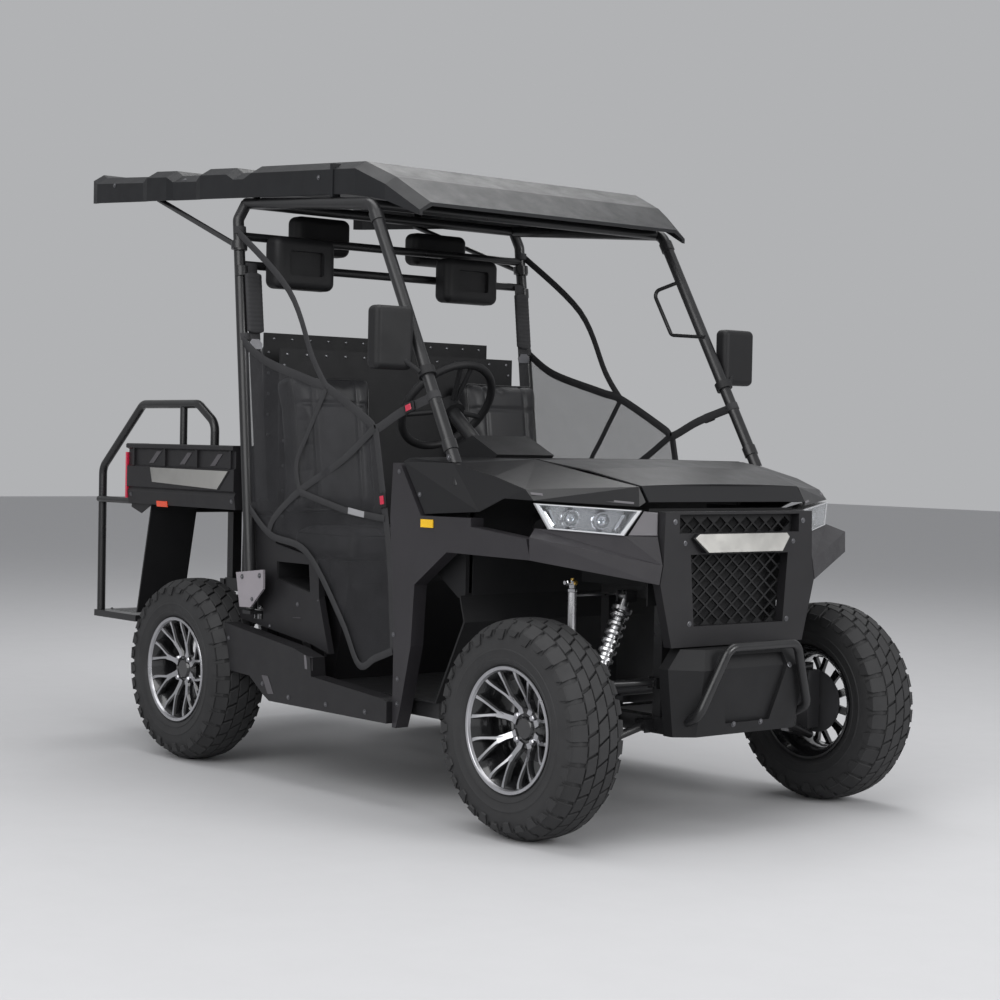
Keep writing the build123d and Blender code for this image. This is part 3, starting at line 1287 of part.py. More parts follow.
def build_belts():
    """Shoulder belts that hang along the rear posts, each with its pad and lower anchor."""
    lean = (B_HEAD_X - B_FOOT_X) / (B_HEAD_Z - 60 - B_FOOT_Z)
    belt = None
    # Columns: low end, high end, outer and inner side position, thickness
    for low, high, outer, inner, thick in (
        (915, 1800, -650, -602, 4),
        (1550, 1765, -660, -590, 24),
        (1490, 1530, -655, -597, 12),
        (915, 965, -655, -600, 14),
    ):
        outline = []
        for z, ahead in ((low, 0), (low, thick), (high, thick), (high, 0)):
            outline.append((B_FOOT_X + (z - B_FOOT_Z) * lean + CAGE_TUBE / 2 + 0.5 + ahead, z))
        piece = side_plate(outline, outer, inner)
        belt = piece if belt is None else belt + piece
    save("seat_belts", belt, left_of(belt))


def build_nets():
    """The cab side nets, plain closed sheets that the mesh and webbing stand for."""
    outline = [
        (-632.5, 1530), (-497, 1450), (-101, 1349), (174, 1211), (256, 810), (285, 500), (103, 440),
        (-3, 580), (-208, 790), (-430, 840), (-564.4, 930),
    ]
    net = side_plate(outline, -NET_Y - 3, -NET_Y)
    save("side_net_right", net)
    save("side_net_left", left_of(net))


def main():
    os.makedirs("parts", exist_ok=True)
    build_wheels()
    build_frame()
    build_towers()
    build_bed_frame()
    build_hitch()
    build_floor()
    build_seat_base()
    build_side_panels()
    build_hood()
    build_cowl()
    build_front_fenders()
    build_headlights()
    build_fascia()
    build_grille()
    build_bumper()
    build_dashboard()
    build_cage()
    build_roof()
    build_roof_struts()
    build_seats()
    build_headrests()
    build_bed()
    build_rear_kit()
    build_mudguards()
    build_mirrors()
    build_steering()
    build_front_suspension()
    build_rear_axle()
    build_belts()
    build_nets()


main()
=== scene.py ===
import math

import bmesh
import bpy
from mathutils import Matrix, Vector
from mathutils.bvhtree import BVHTree
from mathutils.geometry import delaunay_2d_cdt


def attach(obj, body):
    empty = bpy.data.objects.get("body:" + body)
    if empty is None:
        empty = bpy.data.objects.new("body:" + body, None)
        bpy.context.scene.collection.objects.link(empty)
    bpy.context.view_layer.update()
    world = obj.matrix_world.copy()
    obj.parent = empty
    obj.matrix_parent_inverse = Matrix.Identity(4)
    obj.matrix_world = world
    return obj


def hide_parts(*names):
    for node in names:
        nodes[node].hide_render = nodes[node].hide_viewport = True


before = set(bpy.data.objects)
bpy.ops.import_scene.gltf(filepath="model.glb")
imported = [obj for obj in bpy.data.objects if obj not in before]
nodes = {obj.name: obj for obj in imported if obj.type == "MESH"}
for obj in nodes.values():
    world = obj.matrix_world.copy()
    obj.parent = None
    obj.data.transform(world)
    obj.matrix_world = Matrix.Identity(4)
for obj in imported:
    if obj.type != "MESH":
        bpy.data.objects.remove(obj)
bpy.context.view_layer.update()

AHEAD = Vector((1, 0, 0))
BACK = Vector((-1, 0, 0))
ACROSS = Vector((0, 1, 0))
UP = Vector((0, 0, 1))
SIDES = {"right": -1, "left": 1}


# Colours, as linear values

CHARCOAL = (0.014, 0.0135, 0.015)
FENDER_GREY = (0.024, 0.0225, 0.0255)
SOOT = (0.011, 0.011, 0.012)
SLATE = (0.009, 0.0095, 0.011)
PIANO_BLACK = (0.008, 0.008, 0.009)
POWDER_BLACK = (0.014, 0.014, 0.015)
TYRE_BLACK = (0.020, 0.020, 0.021)
INK = (0.012, 0.012, 0.013)
VINYL_BLACK = (0.022, 0.022, 0.024)
NET_BLACK = (0.030, 0.030, 0.033)
MACHINED = (0.50, 0.50, 0.52)
PLATED = (0.60, 0.60, 0.61)
CASTING = (0.11, 0.11, 0.115)
COVER_GREY = (0.27, 0.25, 0.27)
LABEL_GREY = (0.30, 0.30, 0.31)
# grey of the real corner trim beside the lamps, also used for painted highlight strips
TRIM_AND_HIGHLIGHT_GREY = (0.115, 0.110, 0.118)
# painted light: a lighter grey that stands for the lit side of facets
PAINTED_LIT_FACET_GREY = (0.070, 0.066, 0.072)
SCREW_GREY = (0.16, 0.16, 0.17)
BADGE_STEEL = (0.62, 0.61, 0.58)
TRIM_WHITE = (0.55, 0.56, 0.58)
CHROME = (0.80, 0.80, 0.82)
MIRROR = (0.75, 0.77, 0.79)
CLEAR = (0.93, 0.95, 0.97)
BRASS = (0.62, 0.42, 0.12)
AMBER = (0.85, 0.50, 0.01)
ORANGE = (0.75, 0.06, 0.01)
LENS_RED = (0.55, 0.012, 0.05)
FLOOR_PALE = (0.52, 0.52, 0.53)
WORLD_PALE = (0.80, 0.81, 0.83, 1)


# Materials

def new_material(name):
    """A node material with its nodes, its links and its Principled shader, ready to be wired."""
    mat = bpy.data.materials.new(name)
    mat.use_nodes = True
    return mat, mat.node_tree.nodes, mat.node_tree.links, mat.node_tree.nodes["Principled BSDF"]


def object_coords(tree, links, turn=0.0):
    """Coordinates fixed to the piece, in metres, turned about its Y axis by some degrees."""
    coords = tree.new("ShaderNodeTexCoord")
    mapping = tree.new("ShaderNodeMapping")
    mapping.inputs["Rotation"].default_value[1] = math.radians(turn)
    links.new(coords.outputs["Object"], mapping.inputs["Vector"])
    return mapping.outputs["Vector"]


def noise(tree, links, scale, detail=4.0):
    """A noise texture in object space."""
    texture = tree.new("ShaderNodeTexNoise")
    texture.inputs["Scale"].default_value = scale
    texture.inputs["Detail"].default_value = detail
    texture.inputs["Roughness"].default_value = 0.6
    links.new(object_coords(tree, links), texture.inputs["Vector"])
    return texture.outputs["Fac"]


def ramp(tree, links, factor, low, high, dark, light):
    """A factor mapped from one range to another, as a colour or a value."""
    node = tree.new("ShaderNodeValToRGB")
    node.color_ramp.elements[0].position = low
    node.color_ramp.elements[1].position = high
    node.color_ramp.elements[0].color = dark
    node.color_ramp.elements[1].color = light
    links.new(factor, node.inputs["Fac"])
    return node.outputs["Color"]


def tint(tree, links, shader, colour, share, scale):
    """Give the shader a colour that drifts a little darker and lighter over the piece."""
    dark = tuple(c * (1 - share) for c in colour) + (1.0,)
    light = tuple(min(1.0, c * (1 + share)) for c in colour) + (1.0,)
    drift = noise(tree, links, scale)
    links.new(ramp(tree, links, drift, 0.3, 0.7, dark, light), shader.inputs["Base Color"])


def relief(tree, links, shader, height, strength, distance):
    """Give the shader a small relief from a height."""
    bump = tree.new("ShaderNodeBump")
    bump.inputs["Strength"].default_value = strength
    bump.inputs["Distance"].default_value = distance
    links.new(height, bump.inputs["Height"])
    links.new(bump.outputs["Normal"], shader.inputs["Normal"])


def surface(name, colour, rough, metal=0.0, grain=0.0, grain_scale=900.0, vary=0.12, wear=0.06,
            coat=0.0, coat_rough=0.05, specular=0.5):
    """A solid material with slow colour change, patchy roughness and a fine moulded grain."""
    mat, tree, links, shader = new_material(name)
    shader.inputs["Metallic"].default_value = metal
    shader.inputs["Coat Weight"].default_value = coat
    shader.inputs["Coat Roughness"].default_value = coat_rough
    shader.inputs["Specular IOR Level"].default_value = specular
    tint(tree, links, shader, colour, vary, 5.0)
    patch = noise(tree, links, 14.0, detail=6.0)
    low = (max(0.02, rough - wear),) * 3 + (1,)
    high = (min(1.0, rough + wear),) * 3 + (1,)
    links.new(ramp(tree, links, patch, 0.3, 0.7, low, high), shader.inputs["Roughness"])
    if grain > 0:
        relief(tree, links, shader, noise(tree, links, grain_scale, detail=2.0), grain, 0.0006)
    return mat


def glass(name, colour, rough=0.03):
    """A clear moulded lens."""
    mat, tree, links, shader = new_material(name)
    shader.inputs["Transmission Weight"].default_value = 1.0
    shader.inputs["IOR"].default_value = 1.45
    shader.inputs["Roughness"].default_value = rough
    tint(tree, links, shader, colour, 0.04, 8.0)
    return mat


def net_cloth(name, colour, pitch=0.0034, cover=0.50):
    """See-through netting: two crossing sets of threads with open holes between them."""
    mat, tree, links, shader = new_material(name)
    shader.inputs["Roughness"].default_value = 0.55
    shader.inputs["Specular IOR Level"].default_value = 0.35
    tint(tree, links, shader, colour, 0.25, 9.0)
    both = tree.new("ShaderNodeMath")
    both.operation = "MAXIMUM"
    for k, turn in enumerate((40, -40)):
        wave = tree.new("ShaderNodeTexWave")
        wave.bands_direction = "X"
        wave.inputs["Scale"].default_value = 0.314 / pitch
        links.new(object_coords(tree, links, turn), wave.inputs["Vector"])
        links.new(wave.outputs["Fac"], both.inputs[k])
    edge = 1 - cover
    threads = ramp(tree, links, both.outputs[0], edge + 0.22, edge + 0.30, (0, 0, 0, 1), (1, 1, 1, 1))
    links.new(threads, shader.inputs["Alpha"])
    relief(tree, links, shader, both.outputs[0], 0.5, 0.0005)
    return mat


MATERIALS = {
    "fender": surface("fender_plastic", FENDER_GREY, 0.42, grain=0.25, specular=0.38),
    "panel": surface("panel_plastic", CHARCOAL, 0.46, grain=0.25, specular=0.36),
    "grained": surface("grained_plastic", SOOT, 0.55, grain=0.5, grain_scale=600.0, specular=0.3),
    "roof": surface("roof_plastic", SLATE, 0.5, grain=0.6, grain_scale=450.0, specular=0.3),
    "gloss": surface("gloss_plastic", PIANO_BLACK, 0.38, vary=0.05, wear=0.04, coat=0.10, coat_rough=0.22,
                     specular=0.35),
    "powder": surface("powder_coat", POWDER_BLACK, 0.32, grain=0.3, grain_scale=700.0),
    "tyre": surface("tyre_rubber", TYRE_BLACK, 0.72, grain=0.5, grain_scale=500.0, vary=0.2),
    "alloy": surface("machined_alloy", MACHINED, 0.31, metal=1.0, vary=0.06),
    "alloy_black": surface("alloy_paint", INK, 0.18, coat=0.6),
    "plated": surface("plated_steel", PLATED, 0.28, metal=1.0, vary=0.1),
    "cast": surface("cast_metal", CASTING, 0.55, metal=0.6, grain=0.5),
    "cover": surface("grey_paint", COVER_GREY, 0.38, vary=0.06),
    "silver": surface("silver_paint", PLATED, 0.22, metal=0.75, vary=0.05),
    "vinyl": surface("seat_vinyl", VINYL_BLACK, 0.48, grain=0.45, grain_scale=380.0, vary=0.15),
    "webbing": surface("webbing", VINYL_BLACK, 0.75, grain=0.6, grain_scale=900.0),
    "lens": glass("clear_lens", CLEAR),
    "red": surface("red_lens", LENS_RED, 0.12, coat=0.8, vary=0.1),
    "net": net_cloth("net_mesh", NET_BLACK),
    "welt": surface("seat_welt", INK, 0.38, grain=0.2),
    "label": surface("blank_label", LABEL_GREY, 0.5, vary=0.05),
    # real grey trim on the lamp corners, and painted highlight strips in the patches below
    "grey_trim_and_highlight": surface("grey_trim_and_highlight", TRIM_AND_HIGHLIGHT_GREY, 0.38, vary=0.08, grain=0.15),
    # painted lit facets: lighter grey slabs where facets catch the light
    "painted_lit_facet": surface("painted_lit_facet", PAINTED_LIT_FACET_GREY, 0.40, vary=0.10, grain=0.15),
    "brass": surface("brass_fitting", BRASS, 0.30, metal=1.0, vary=0.08),
    "chrome": surface("chrome_trim", CHROME, 0.07, metal=1.0, vary=0.03, wear=0.03),
    "white_trim": surface("white_trim", TRIM_WHITE, 0.25, vary=0.05, coat=0.5),
    "brushed": surface("brushed_plate", BADGE_STEEL, 0.38, metal=1.0, vary=0.10, grain=0.3,
                       grain_scale=500.0),
    "plated_dark": surface("dark_screws", SCREW_GREY, 0.35, metal=0.9, vary=0.2),
    "amber": surface("amber_reflector", AMBER, 0.18, coat=0.7, vary=0.08),
    "orange": surface("red_reflector", ORANGE, 0.18, coat=0.7, vary=0.08),
    "mirror": surface("mirror_glass", MIRROR, 0.04, metal=1.0, vary=0.02, wear=0.01),
}

# Which CAD nodes wear each finish
FINISH = {
    "tyre": ("tyre_front_right", "tyre_front_left", "tyre_rear_right", "tyre_rear_left"),
    "alloy": ("rim_front_right", "rim_front_left", "rim_rear_right", "rim_rear_left"),
    "powder": ("chassis_frame", "front_towers", "bed_frame", "hitch_tongue", "bumper_hoop", "roll_cage",
               "roof_struts", "rear_hoops", "foot_step", "steering_column", "front_arms", "rear_arms"),
    "panel": ("seat_base", "quarter_panels", "sills", "front_fascia", "cargo_bed", "tailgate"),
    "grained": ("floor_pan", "grille_mesh", "skid_block", "dashboard", "bulkhead", "rear_seat_base",
                "rear_seat_board", "headrests", "mudguards", "mirrors", "steering_wheel"),
    "gloss": ("hood", "cowl_sides"),
    "fender": ("front_fenders",),
    "cover": ("cage_foot_covers",),
    "roof": ("roof_panel",),
    "silver": ("headlights",),
    "red": ("tail_lights",),
    "vinyl": ("front_seat_cushions", "front_seat_backs", "rear_seat_cushion", "rear_seat_back"),
    "webbing": ("seat_belts", "side_net_right", "side_net_left"),
    "cast": ("steering_rack", "knuckle_right", "knuckle_left", "rear_axle", "engine_block"),
    "plated": ("tie_rods", "front_struts", "rear_struts", "silencer"),
}


def dress_nodes():
    """Give every CAD node its finish."""
    for finish, names in FINISH.items():
        for name in names:
            nodes[name].data.materials.clear()
            nodes[name].data.materials.append(MATERIALS[finish])


# Camera and light

CAMERA_PLACE = Vector((5.8302, -4.6573, 1.1744))
CAMERA_YAW = 140.1455
CAMERA_PITCH = -1.5609
CAMERA_ROLL = 1.1253
CAMERA_LENS = 74.34
SENSOR_WIDTH = 36.0
PHOTO_SIDE = 1000
# Columns: name, place, what it is aimed at, side in metres, watts
LAMPS = (
    ("key", (3.0, -6.5, 4.2), (0.2, -0.2, 0.9), 6.5, 370),
    ("front", (7.5, 1.5, 3.2), (0.6, 0.0, 0.8), 3.0, 230),
    ("top", (0.0, 0.0, 6.0), (0.0, 0.0, 0.0), 5.0, 200),
    ("rim", (-4.0, 4.4, 7.2), (0.0, 0.2, 1.1), 3.6, 130),
)


def camera_axes():
    """The camera's own directions: ahead, right and up."""
    yaw = math.radians(CAMERA_YAW)
    pitch = math.radians(CAMERA_PITCH)
    roll = math.radians(CAMERA_ROLL)
    ahead = Vector((math.cos(yaw) * math.cos(pitch), math.sin(yaw) * math.cos(pitch), math.sin(pitch)))
    level = ahead.cross(UP).normalized()
    plumb = level.cross(ahead)
    right = level * math.cos(roll) + plumb * math.sin(roll)
    top = plumb * math.cos(roll) - level * math.sin(roll)
    return ahead, right, top


def place_camera():
    """The photograph's own view, found from the matched left and right features of the vehicle."""
    ahead, right, top = camera_axes()
    data = bpy.data.cameras.new("camera")
    data.lens = CAMERA_LENS
    data.sensor_width = SENSOR_WIDTH
    data.clip_end = 100.0
    camera = bpy.data.objects.new("camera", data)
    bpy.context.scene.collection.objects.link(camera)
    turn = Matrix((right, top, -ahead)).transposed().to_4x4()
    camera.matrix_world = Matrix.Translation(CAMERA_PLACE) @ turn
    bpy.context.scene.camera = camera


def sight(across, down):
    """The way from the camera through a place in the photograph."""
    ahead, right, top = camera_axes()
    pixel = SENSOR_WIDTH / CAMERA_LENS / PHOTO_SIDE
    middle = PHOTO_SIDE / 2
    return (ahead + right * (across - middle) * pixel - top * (down - middle) * pixel).normalized()


def area_light(name, place, target, size, power):
    """A soft rectangular lamp aimed at a point."""
    data = bpy.data.lights.new(name, "AREA")
    data.energy = power
    data.shape = "RECTANGLE"
    data.size = size
    data.size_y = size
    lamp = bpy.data.objects.new(name, data)
    bpy.context.scene.collection.objects.link(lamp)
    lamp.location = place
    lamp.rotation_euler = (Vector(target) - Vector(place)).to_track_quat("-Z", "Y").to_euler()


def light_scene():
    """Plain studio light, a pale floor and a pale world."""
    world = bpy.data.worlds.new("studio")
    world.use_nodes = True
    background = world.node_tree.nodes["Background"]
    background.inputs["Color"].default_value = WORLD_PALE
    background.inputs["Strength"].default_value = 0.55
    bpy.context.scene.world = world
    for lamp in LAMPS:
        area_light(*lamp)
    bpy.ops.mesh.primitive_plane_add(size=60.0, location=(0, 0, 0))
    floor = bpy.context.object
    floor.name = "studio_floor"
    floor.data.materials.append(surface("floor_paint", FLOOR_PALE, 0.7, vary=0.01, specular=0.1))
    bpy.context.scene.view_settings.view_transform = "Standard"


# Mesh helpers

def add_mesh(name, points, faces, finish, smooth, body="chassis", replaced=()):
    """One piece from points and faces, riding on a body; edges flatter than the smooth angle are soft."""
    data = bpy.data.meshes.new(name)
    data.from_pydata([tuple(p) for p in points], [], faces)
    data.update()
    work = bmesh.new()
    work.from_mesh(data)
    bmesh.ops.recalc_face_normals(work, faces=work.faces)
    work.to_mesh(data)
    work.free()
    obj = bpy.data.objects.new(name, data)
    bpy.context.scene.collection.objects.link(obj)
    data.materials.append(MATERIALS[finish])
    soften(obj, smooth)
    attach(obj, body)
    if replaced:
        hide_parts(*replaced)
    return obj


def piece(name, parts, finish, smooth, body="chassis", replaced=()):
    """One piece made of several solids."""
    points, faces = join(parts)
    return add_mesh(name, points, faces, finish, smooth, body, replaced)


def soften(obj, degrees):
    """Smooth shading except over edges sharper than an angle."""
    data = obj.data
    data.polygons.foreach_set("use_smooth", [True] * len(data.polygons))
    work = bmesh.new()
    work.from_mesh(data)
    limit = math.radians(degrees)
    for edge in work.edges:
        edge.smooth = len(edge.link_faces) == 2 and edge.calc_face_angle(0.0) < limit
    work.to_mesh(data)
    work.free()


def spin(profile, count, closed=True):
    """Points and faces of a profile of (radius, offset) pairs turned about the Y axis."""
    points = []
    for k in range(count):
        turn = 2 * math.pi * k / count
        points.extend((r * math.cos(turn), y, r * math.sin(turn)) for r, y in profile)
    size = len(profile)
    faces = []
    last = size if closed else size - 1
    for k in range(count):
        n = (k + 1) % count
        for j in range(last):
            m = (j + 1) % size
            faces.append((k * size + j, k * size + m, n * size + m, n * size + j))
    return points, faces


def moved(points, offset):
    """Points shifted by an offset."""
    return [(p[0] + offset[0], p[1] + offset[1], p[2] + offset[2]) for p in points]


# Wheels

TYRE_RADIUS = 0.330
# Each axle's place ahead of the frame's middle, and each wheel's middle out from the centre line
AXLES = {"front": 1.1935, "rear": -0.6875}
WHEEL_Y = 0.655
WHEELS = [(axle, side) for axle in AXLES for side in SIDES]
GROOVE_DEPTH = 0.010
PITCHES = 32
PITCH = 2 * math.pi / PITCHES
BEAD_RADIUS = 0.179
BEAD_Y = 0.0855
# Half section of the tread and shoulder: distance from the middle, radius
CROWN = [(0.0, 0.330), (0.033, 0.330), (0.074, 0.322), (0.0945, 0.302), (0.1025, 0.262)]
# Outside of the carcass below the blocks: radius, distance from the middle
CARCASS = [
    (BEAD_RADIUS, -BEAD_Y), (0.192, -BEAD_Y), (0.197, -0.092), (0.205, -0.0985), (0.212, -0.1000),
    (0.214, -0.0985), (0.235, -0.1015), (0.2375, -0.1030), (0.2405, -0.1030), (0.243, -0.1012),
    (0.262, -0.1005), (0.284, -0.0960), (0.294, -0.0900), (0.312, -0.0740), (0.318, -0.050),
    (0.320, -0.0330), (0.320, 0.0),
]
# Rows of blocks: near edge, far edge, start and end as shares of the pitch, extra sweep
BLOCK_ROWS = (
    (-0.0185, 0.0185, 0.06, 0.94, 0.0),
    (0.0225, 0.0545, 0.05, 0.90, 0.25),
    (0.0585, 0.0965, 0.07, 0.88, 0.55),
)


def crown(y):
    """Radius of the tread surface at a distance from the tyre's middle."""
    y = abs(y)
    for (y0, r0), (y1, r1) in zip(CROWN, CROWN[1:]):
        if y <= y1:
            return r0 + (r1 - r0) * (y - y0) / (y1 - y0)
    return CROWN[-1][1]


def tread_block(corners, points, faces):
    """One block of the tread from (angle, offset) corners, with a chamfered top."""
    size = len(corners)
    middle_a = sum(c[0] for c in corners) / size
    middle_y = sum(c[1] for c in corners) / size
    # Columns: share of the outline, height above the groove's floor
    rings = ((1.04, -0.001), (1.0, GROOVE_DEPTH - 0.0016), (0.93, GROOVE_DEPTH))
    start = len(points)
    for share, height in rings:
        for a, y in corners:
            angle = middle_a + (a - middle_a) * share
            offset = middle_y + (y - middle_y) * share
            radius = crown(offset) - GROOVE_DEPTH + height
            points.append((radius * math.cos(angle), offset, radius * math.sin(angle)))
    for ring in (0, 1):
        for k in range(size):
            n = (k + 1) % size
            low = start + ring * size
            faces.append((low + k, low + n, low + size + n, low + size + k))
    faces.append(tuple(start + 2 * size + k for k in range(size)))


def shoulder_lug(k, mirror, points, faces):
    """One lug that runs down on to the sidewall; every second one is longer."""
    foot = 0.268 if k % 2 else 0.280
    shift = sweep_angle(0.09 * mirror) + 0.55 * PITCH * mirror
    start = len(points)
    # Columns: radius, distance from the middle, share of the pitch that the edge is set in
    stations = ((foot, 0.1005, 0.30), (foot + 0.004, 0.1045, 0.27), (0.300, 0.1005, 0.12),
                (0.300, 0.090, 0.12))
    for radius, y, share in stations:
        for edge in (share, 0.95 - share):
            angle = (k + edge) * PITCH + shift
            points.append((radius * math.cos(angle), y * mirror, radius * math.sin(angle)))
    for j in range(3):
        low = start + 2 * j
        faces.append((low, low + 1, low + 3, low + 2))
    faces.append((start, start + 2, start + 4, start + 6))
    faces.append((start + 1, start + 7, start + 5, start + 3))


def sweep_angle(y):
    """How far a cross groove runs ahead round the tyre at a distance from its middle."""
    return 0.10 * math.sin(min(1.0, abs(y) / 0.075) * math.pi / 2) * (1 if y > 0 else -1)


def wheel_place(axle, side):
    """The middle of a wheel."""
    return AXLES[axle], SIDES[side] * WHEEL_Y, TYRE_RADIUS


def build_tyre(axle, side):
    """An all-terrain tyre with five rows of swept blocks, sidewall rings and shoulder lugs."""
    profile = CARCASS + [(r, -y) for r, y in reversed(CARCASS[:-1])]
    profile += [(0.19, BEAD_Y - 0.012), (0.262, 0.090), (0.300, 0.070), (0.300, -0.070), (0.262, -0.090),
                (0.19, -BEAD_Y + 0.012)]
    points, faces = spin(profile, 96)
    for k in range(PITCHES):
        for y0, y1, a0, a1, lead in BLOCK_ROWS:
            half = (a0 + a1) / 2
            for mirror in ((1,) if y0 < 0 else (1, -1)):
                corners = []
                for a, y in ((a0, y0), (half, y0), (a1, y0), (a1, y1), (half, y1), (a0, y1)):
                    offset = y * mirror
                    shift = sweep_angle(offset) + lead * PITCH * mirror
                    corners.append(((k + a) * PITCH + shift, offset))
                tread_block(corners, points, faces)
        for mirror in (1, -1):
            shoulder_lug(k, mirror, points, faces)
    name = axle + "_" + side
    add_mesh("tread_tyre_" + name, moved(points, wheel_place(axle, side)), faces, "tyre", 28,
             "wheel_" + name, ("tyre_" + name,))


# Rims

LIP_Y = 0.093
SPOKES = 8
SPOKE_PITCH = 2 * math.pi / SPOKES
HUB_DEPTH = {"front": 0.075, "rear": 0.040}
HUB_RADIUS = 0.062
SPOKE_END = 0.174
FORK_RADIUS = 0.088
# Barrel of the rim: radius, offset outward from the wheel's middle, whether the next band is machined
BARREL = [
    (0.190, -0.093, False), (0.190, -0.086, False), (0.178, -0.086, False), (0.176, -0.048, False),
    (0.156, -0.031, False), (0.156, 0.031, False), (0.176, 0.048, False), (0.178, 0.086, False),
    (0.190, 0.086, False), (0.1905, 0.0905, True), (0.189, LIP_Y, True), (0.1815, LIP_Y, True),
    (0.1790, 0.0915, True), (0.1755, 0.0840, False), (0.172, 0.079, False), (0.148, 0.031, False),
    (0.148, -0.031, False), (0.169, -0.079, False), (0.183, -0.093, False),
]


def spoke_face(radius, depth):
    """Height of the spokes' faces along the axle, from the deep hub out to the lip."""
    share = max(0.0, min(1.0, (radius - HUB_RADIUS) / (SPOKE_END - HUB_RADIUS)))
    return LIP_Y - 0.010 - (depth - 0.010) * (1 - share) ** 1.25


def spoke_bar(route, depth, points, faces, bright):
    """A bar along (radius, angle, face width, foot width) stations; its outer face is machined."""
    start = len(points)
    for k, (radius, angle, width, foot) in enumerate(route):
        before = route[max(0, k - 1)]
        after = route[min(len(route) - 1, k + 1)]
        run_r = after[0] - before[0]
        run_t = radius * (after[1] - before[1])
        length = math.hypot(run_r, run_t)
        side_r, side_t = -run_t / length, run_r / length
        y = spoke_face(radius, depth)
        for half, drop in ((-width / 2, 0.0), (width / 2, 0.0), (foot / 2, 0.007), (foot / 2, 0.020),
                           (-foot / 2, 0.020), (-foot / 2, 0.007)):
            r = radius + side_r * half
            turn = angle + side_t * half / radius
            points.append((r * math.cos(turn), y - drop, r * math.sin(turn)))
    for k in range(len(route) - 1):
        low = start + 6 * k
        for j in range(6):
            n = (j + 1) % 6
            faces.append((low + j, low + n, low + 6 + n, low + 6 + j))
            bright.append(j == 0)
    for low in (start, start + 6 * (len(route) - 1)):
        faces.append(tuple(low + j for j in range(6)))
        bright.append(False)


def prong_route(angle, lean):
    """Stations of one curved prong from the fork out to the barrel."""
    route = []
    for k in range(7):
        share = k / 6
        radius = FORK_RADIUS + (SPOKE_END + 0.002 - FORK_RADIUS) * share
        swing = lean * math.sin(share * math.pi / 2) + 0.05 * share * share
        width = 0.0110 - 0.0038 * math.sin(share * math.pi)
        route.append((radius, angle + swing, width, width + 0.008))
    return route


def hub(face_y, points, faces, bright):
    """The plain hub with its cap."""
    profile = [(0.0, face_y + 0.004), (0.030, face_y + 0.004), (0.033, face_y + 0.001),
               (0.036, face_y - 0.004), (0.060, face_y - 0.006), (0.066, face_y - 0.012),
               (0.066, face_y - 0.026), (0.0, face_y - 0.026)]
    start = len(points)
    more, rings = spin(profile, 48, closed=False)
    points.extend(more)
    faces.extend(tuple(start + v for v in face) for face in rings)
    bright.extend([False] * len(rings))


def wheel_nut(turn, face_y, points, faces, bright):
    """One hexagon nut on the hub's face."""
    start = len(points)
    for radius, lift in ((0.0105, 0.0), (0.0100, 0.011), (0.0070, 0.014)):
        for j in range(6):
            bend = 2 * math.pi * j / 6
            x = 0.050 * math.cos(turn) + radius * math.cos(bend)
            z = 0.050 * math.sin(turn) + radius * math.sin(bend)
            points.append((x, face_y - 0.006 + lift, z))
    for ring in (0, 1):
        for j in range(6):
            n = (j + 1) % 6
            low = start + 6 * ring
            faces.append((low + j, low + n, low + 6 + n, low + 6 + j))
    faces.append(tuple(start + 12 + j for j in range(6)))
    bright.extend([True] * 13)


def build_rim(axle, side):
    """An alloy with eight forked spokes, machined on the face and black in the pockets."""
    depth = HUB_DEPTH[axle]
    points, faces = spin([(r, y) for r, y, flag in BARREL], 96)
    bright = [BARREL[j % len(BARREL)][2] for j in range(len(faces))]
    for k in range(SPOKES):
        angle = SPOKE_PITCH * (k + 0.5)
        stem = [
            (0.046, angle, 0.022, 0.032), (0.062, angle, 0.019, 0.028), (0.080, angle + 0.015, 0.017, 0.025),
            (0.094, angle + 0.03, 0.020, 0.028), (0.104, angle + 0.04, 0.022, 0.030),
        ]
        spoke_bar(stem, depth, points, faces, bright)
        for way in (1, -1):
            spoke_bar(prong_route(angle + 0.03, way * SPOKE_PITCH * 0.24), depth, points, faces, bright)
    hub(LIP_Y - depth, points, faces, bright)
    for k in range(4):
        wheel_nut(math.pi * (k + 0.5) / 2, LIP_Y - depth, points, faces, bright)
    name = axle + "_" + side
    points = [(x, y * SIDES[side], z) for x, y, z in points]
    obj = add_mesh("alloy_wheel_" + name, moved(points, wheel_place(axle, side)), faces, "alloy_black", 30,
                   "wheel_" + name, ("rim_" + name,))
    obj.data.materials.append(MATERIALS["alloy"])
    for polygon, flag in zip(obj.data.polygons, bright):
        polygon.material_index = 1 if flag else 0


# Placing and joining

SHIFT = 0.253
TREES = {}


def at(x, y, z):
    """A point in mm: ahead of the wheelbase's middle, left of the centre line, above the ground."""
    return Vector((x / 1000 + SHIFT, y / 1000, z / 1000))


def tree_of(data):
    """A mesh's faces, ready for rays."""
    return BVHTree.FromPolygons([v.co for v in data.vertices], [tuple(p.vertices) for p in data.polygons])


def hit(node, start, aim):
    """Where a line from a point first meets a CAD node and which way its surface faces, or None."""
    if node not in TREES:
        TREES[node] = tree_of(nodes[node].data)
    place, normal, index, distance = TREES[node].ray_cast(start, aim)
    if place is None:
        return None
    if normal.dot(aim) > 0:
        normal = -normal
    return place, normal


def join(parts):
    """Points and faces of several solids as one."""
    points = []
    faces = []
    for more, rings in parts:
        start = len(points)
        points.extend(more)
        faces.extend(tuple(start + v for v in face) for face in rings)
    return points, faces


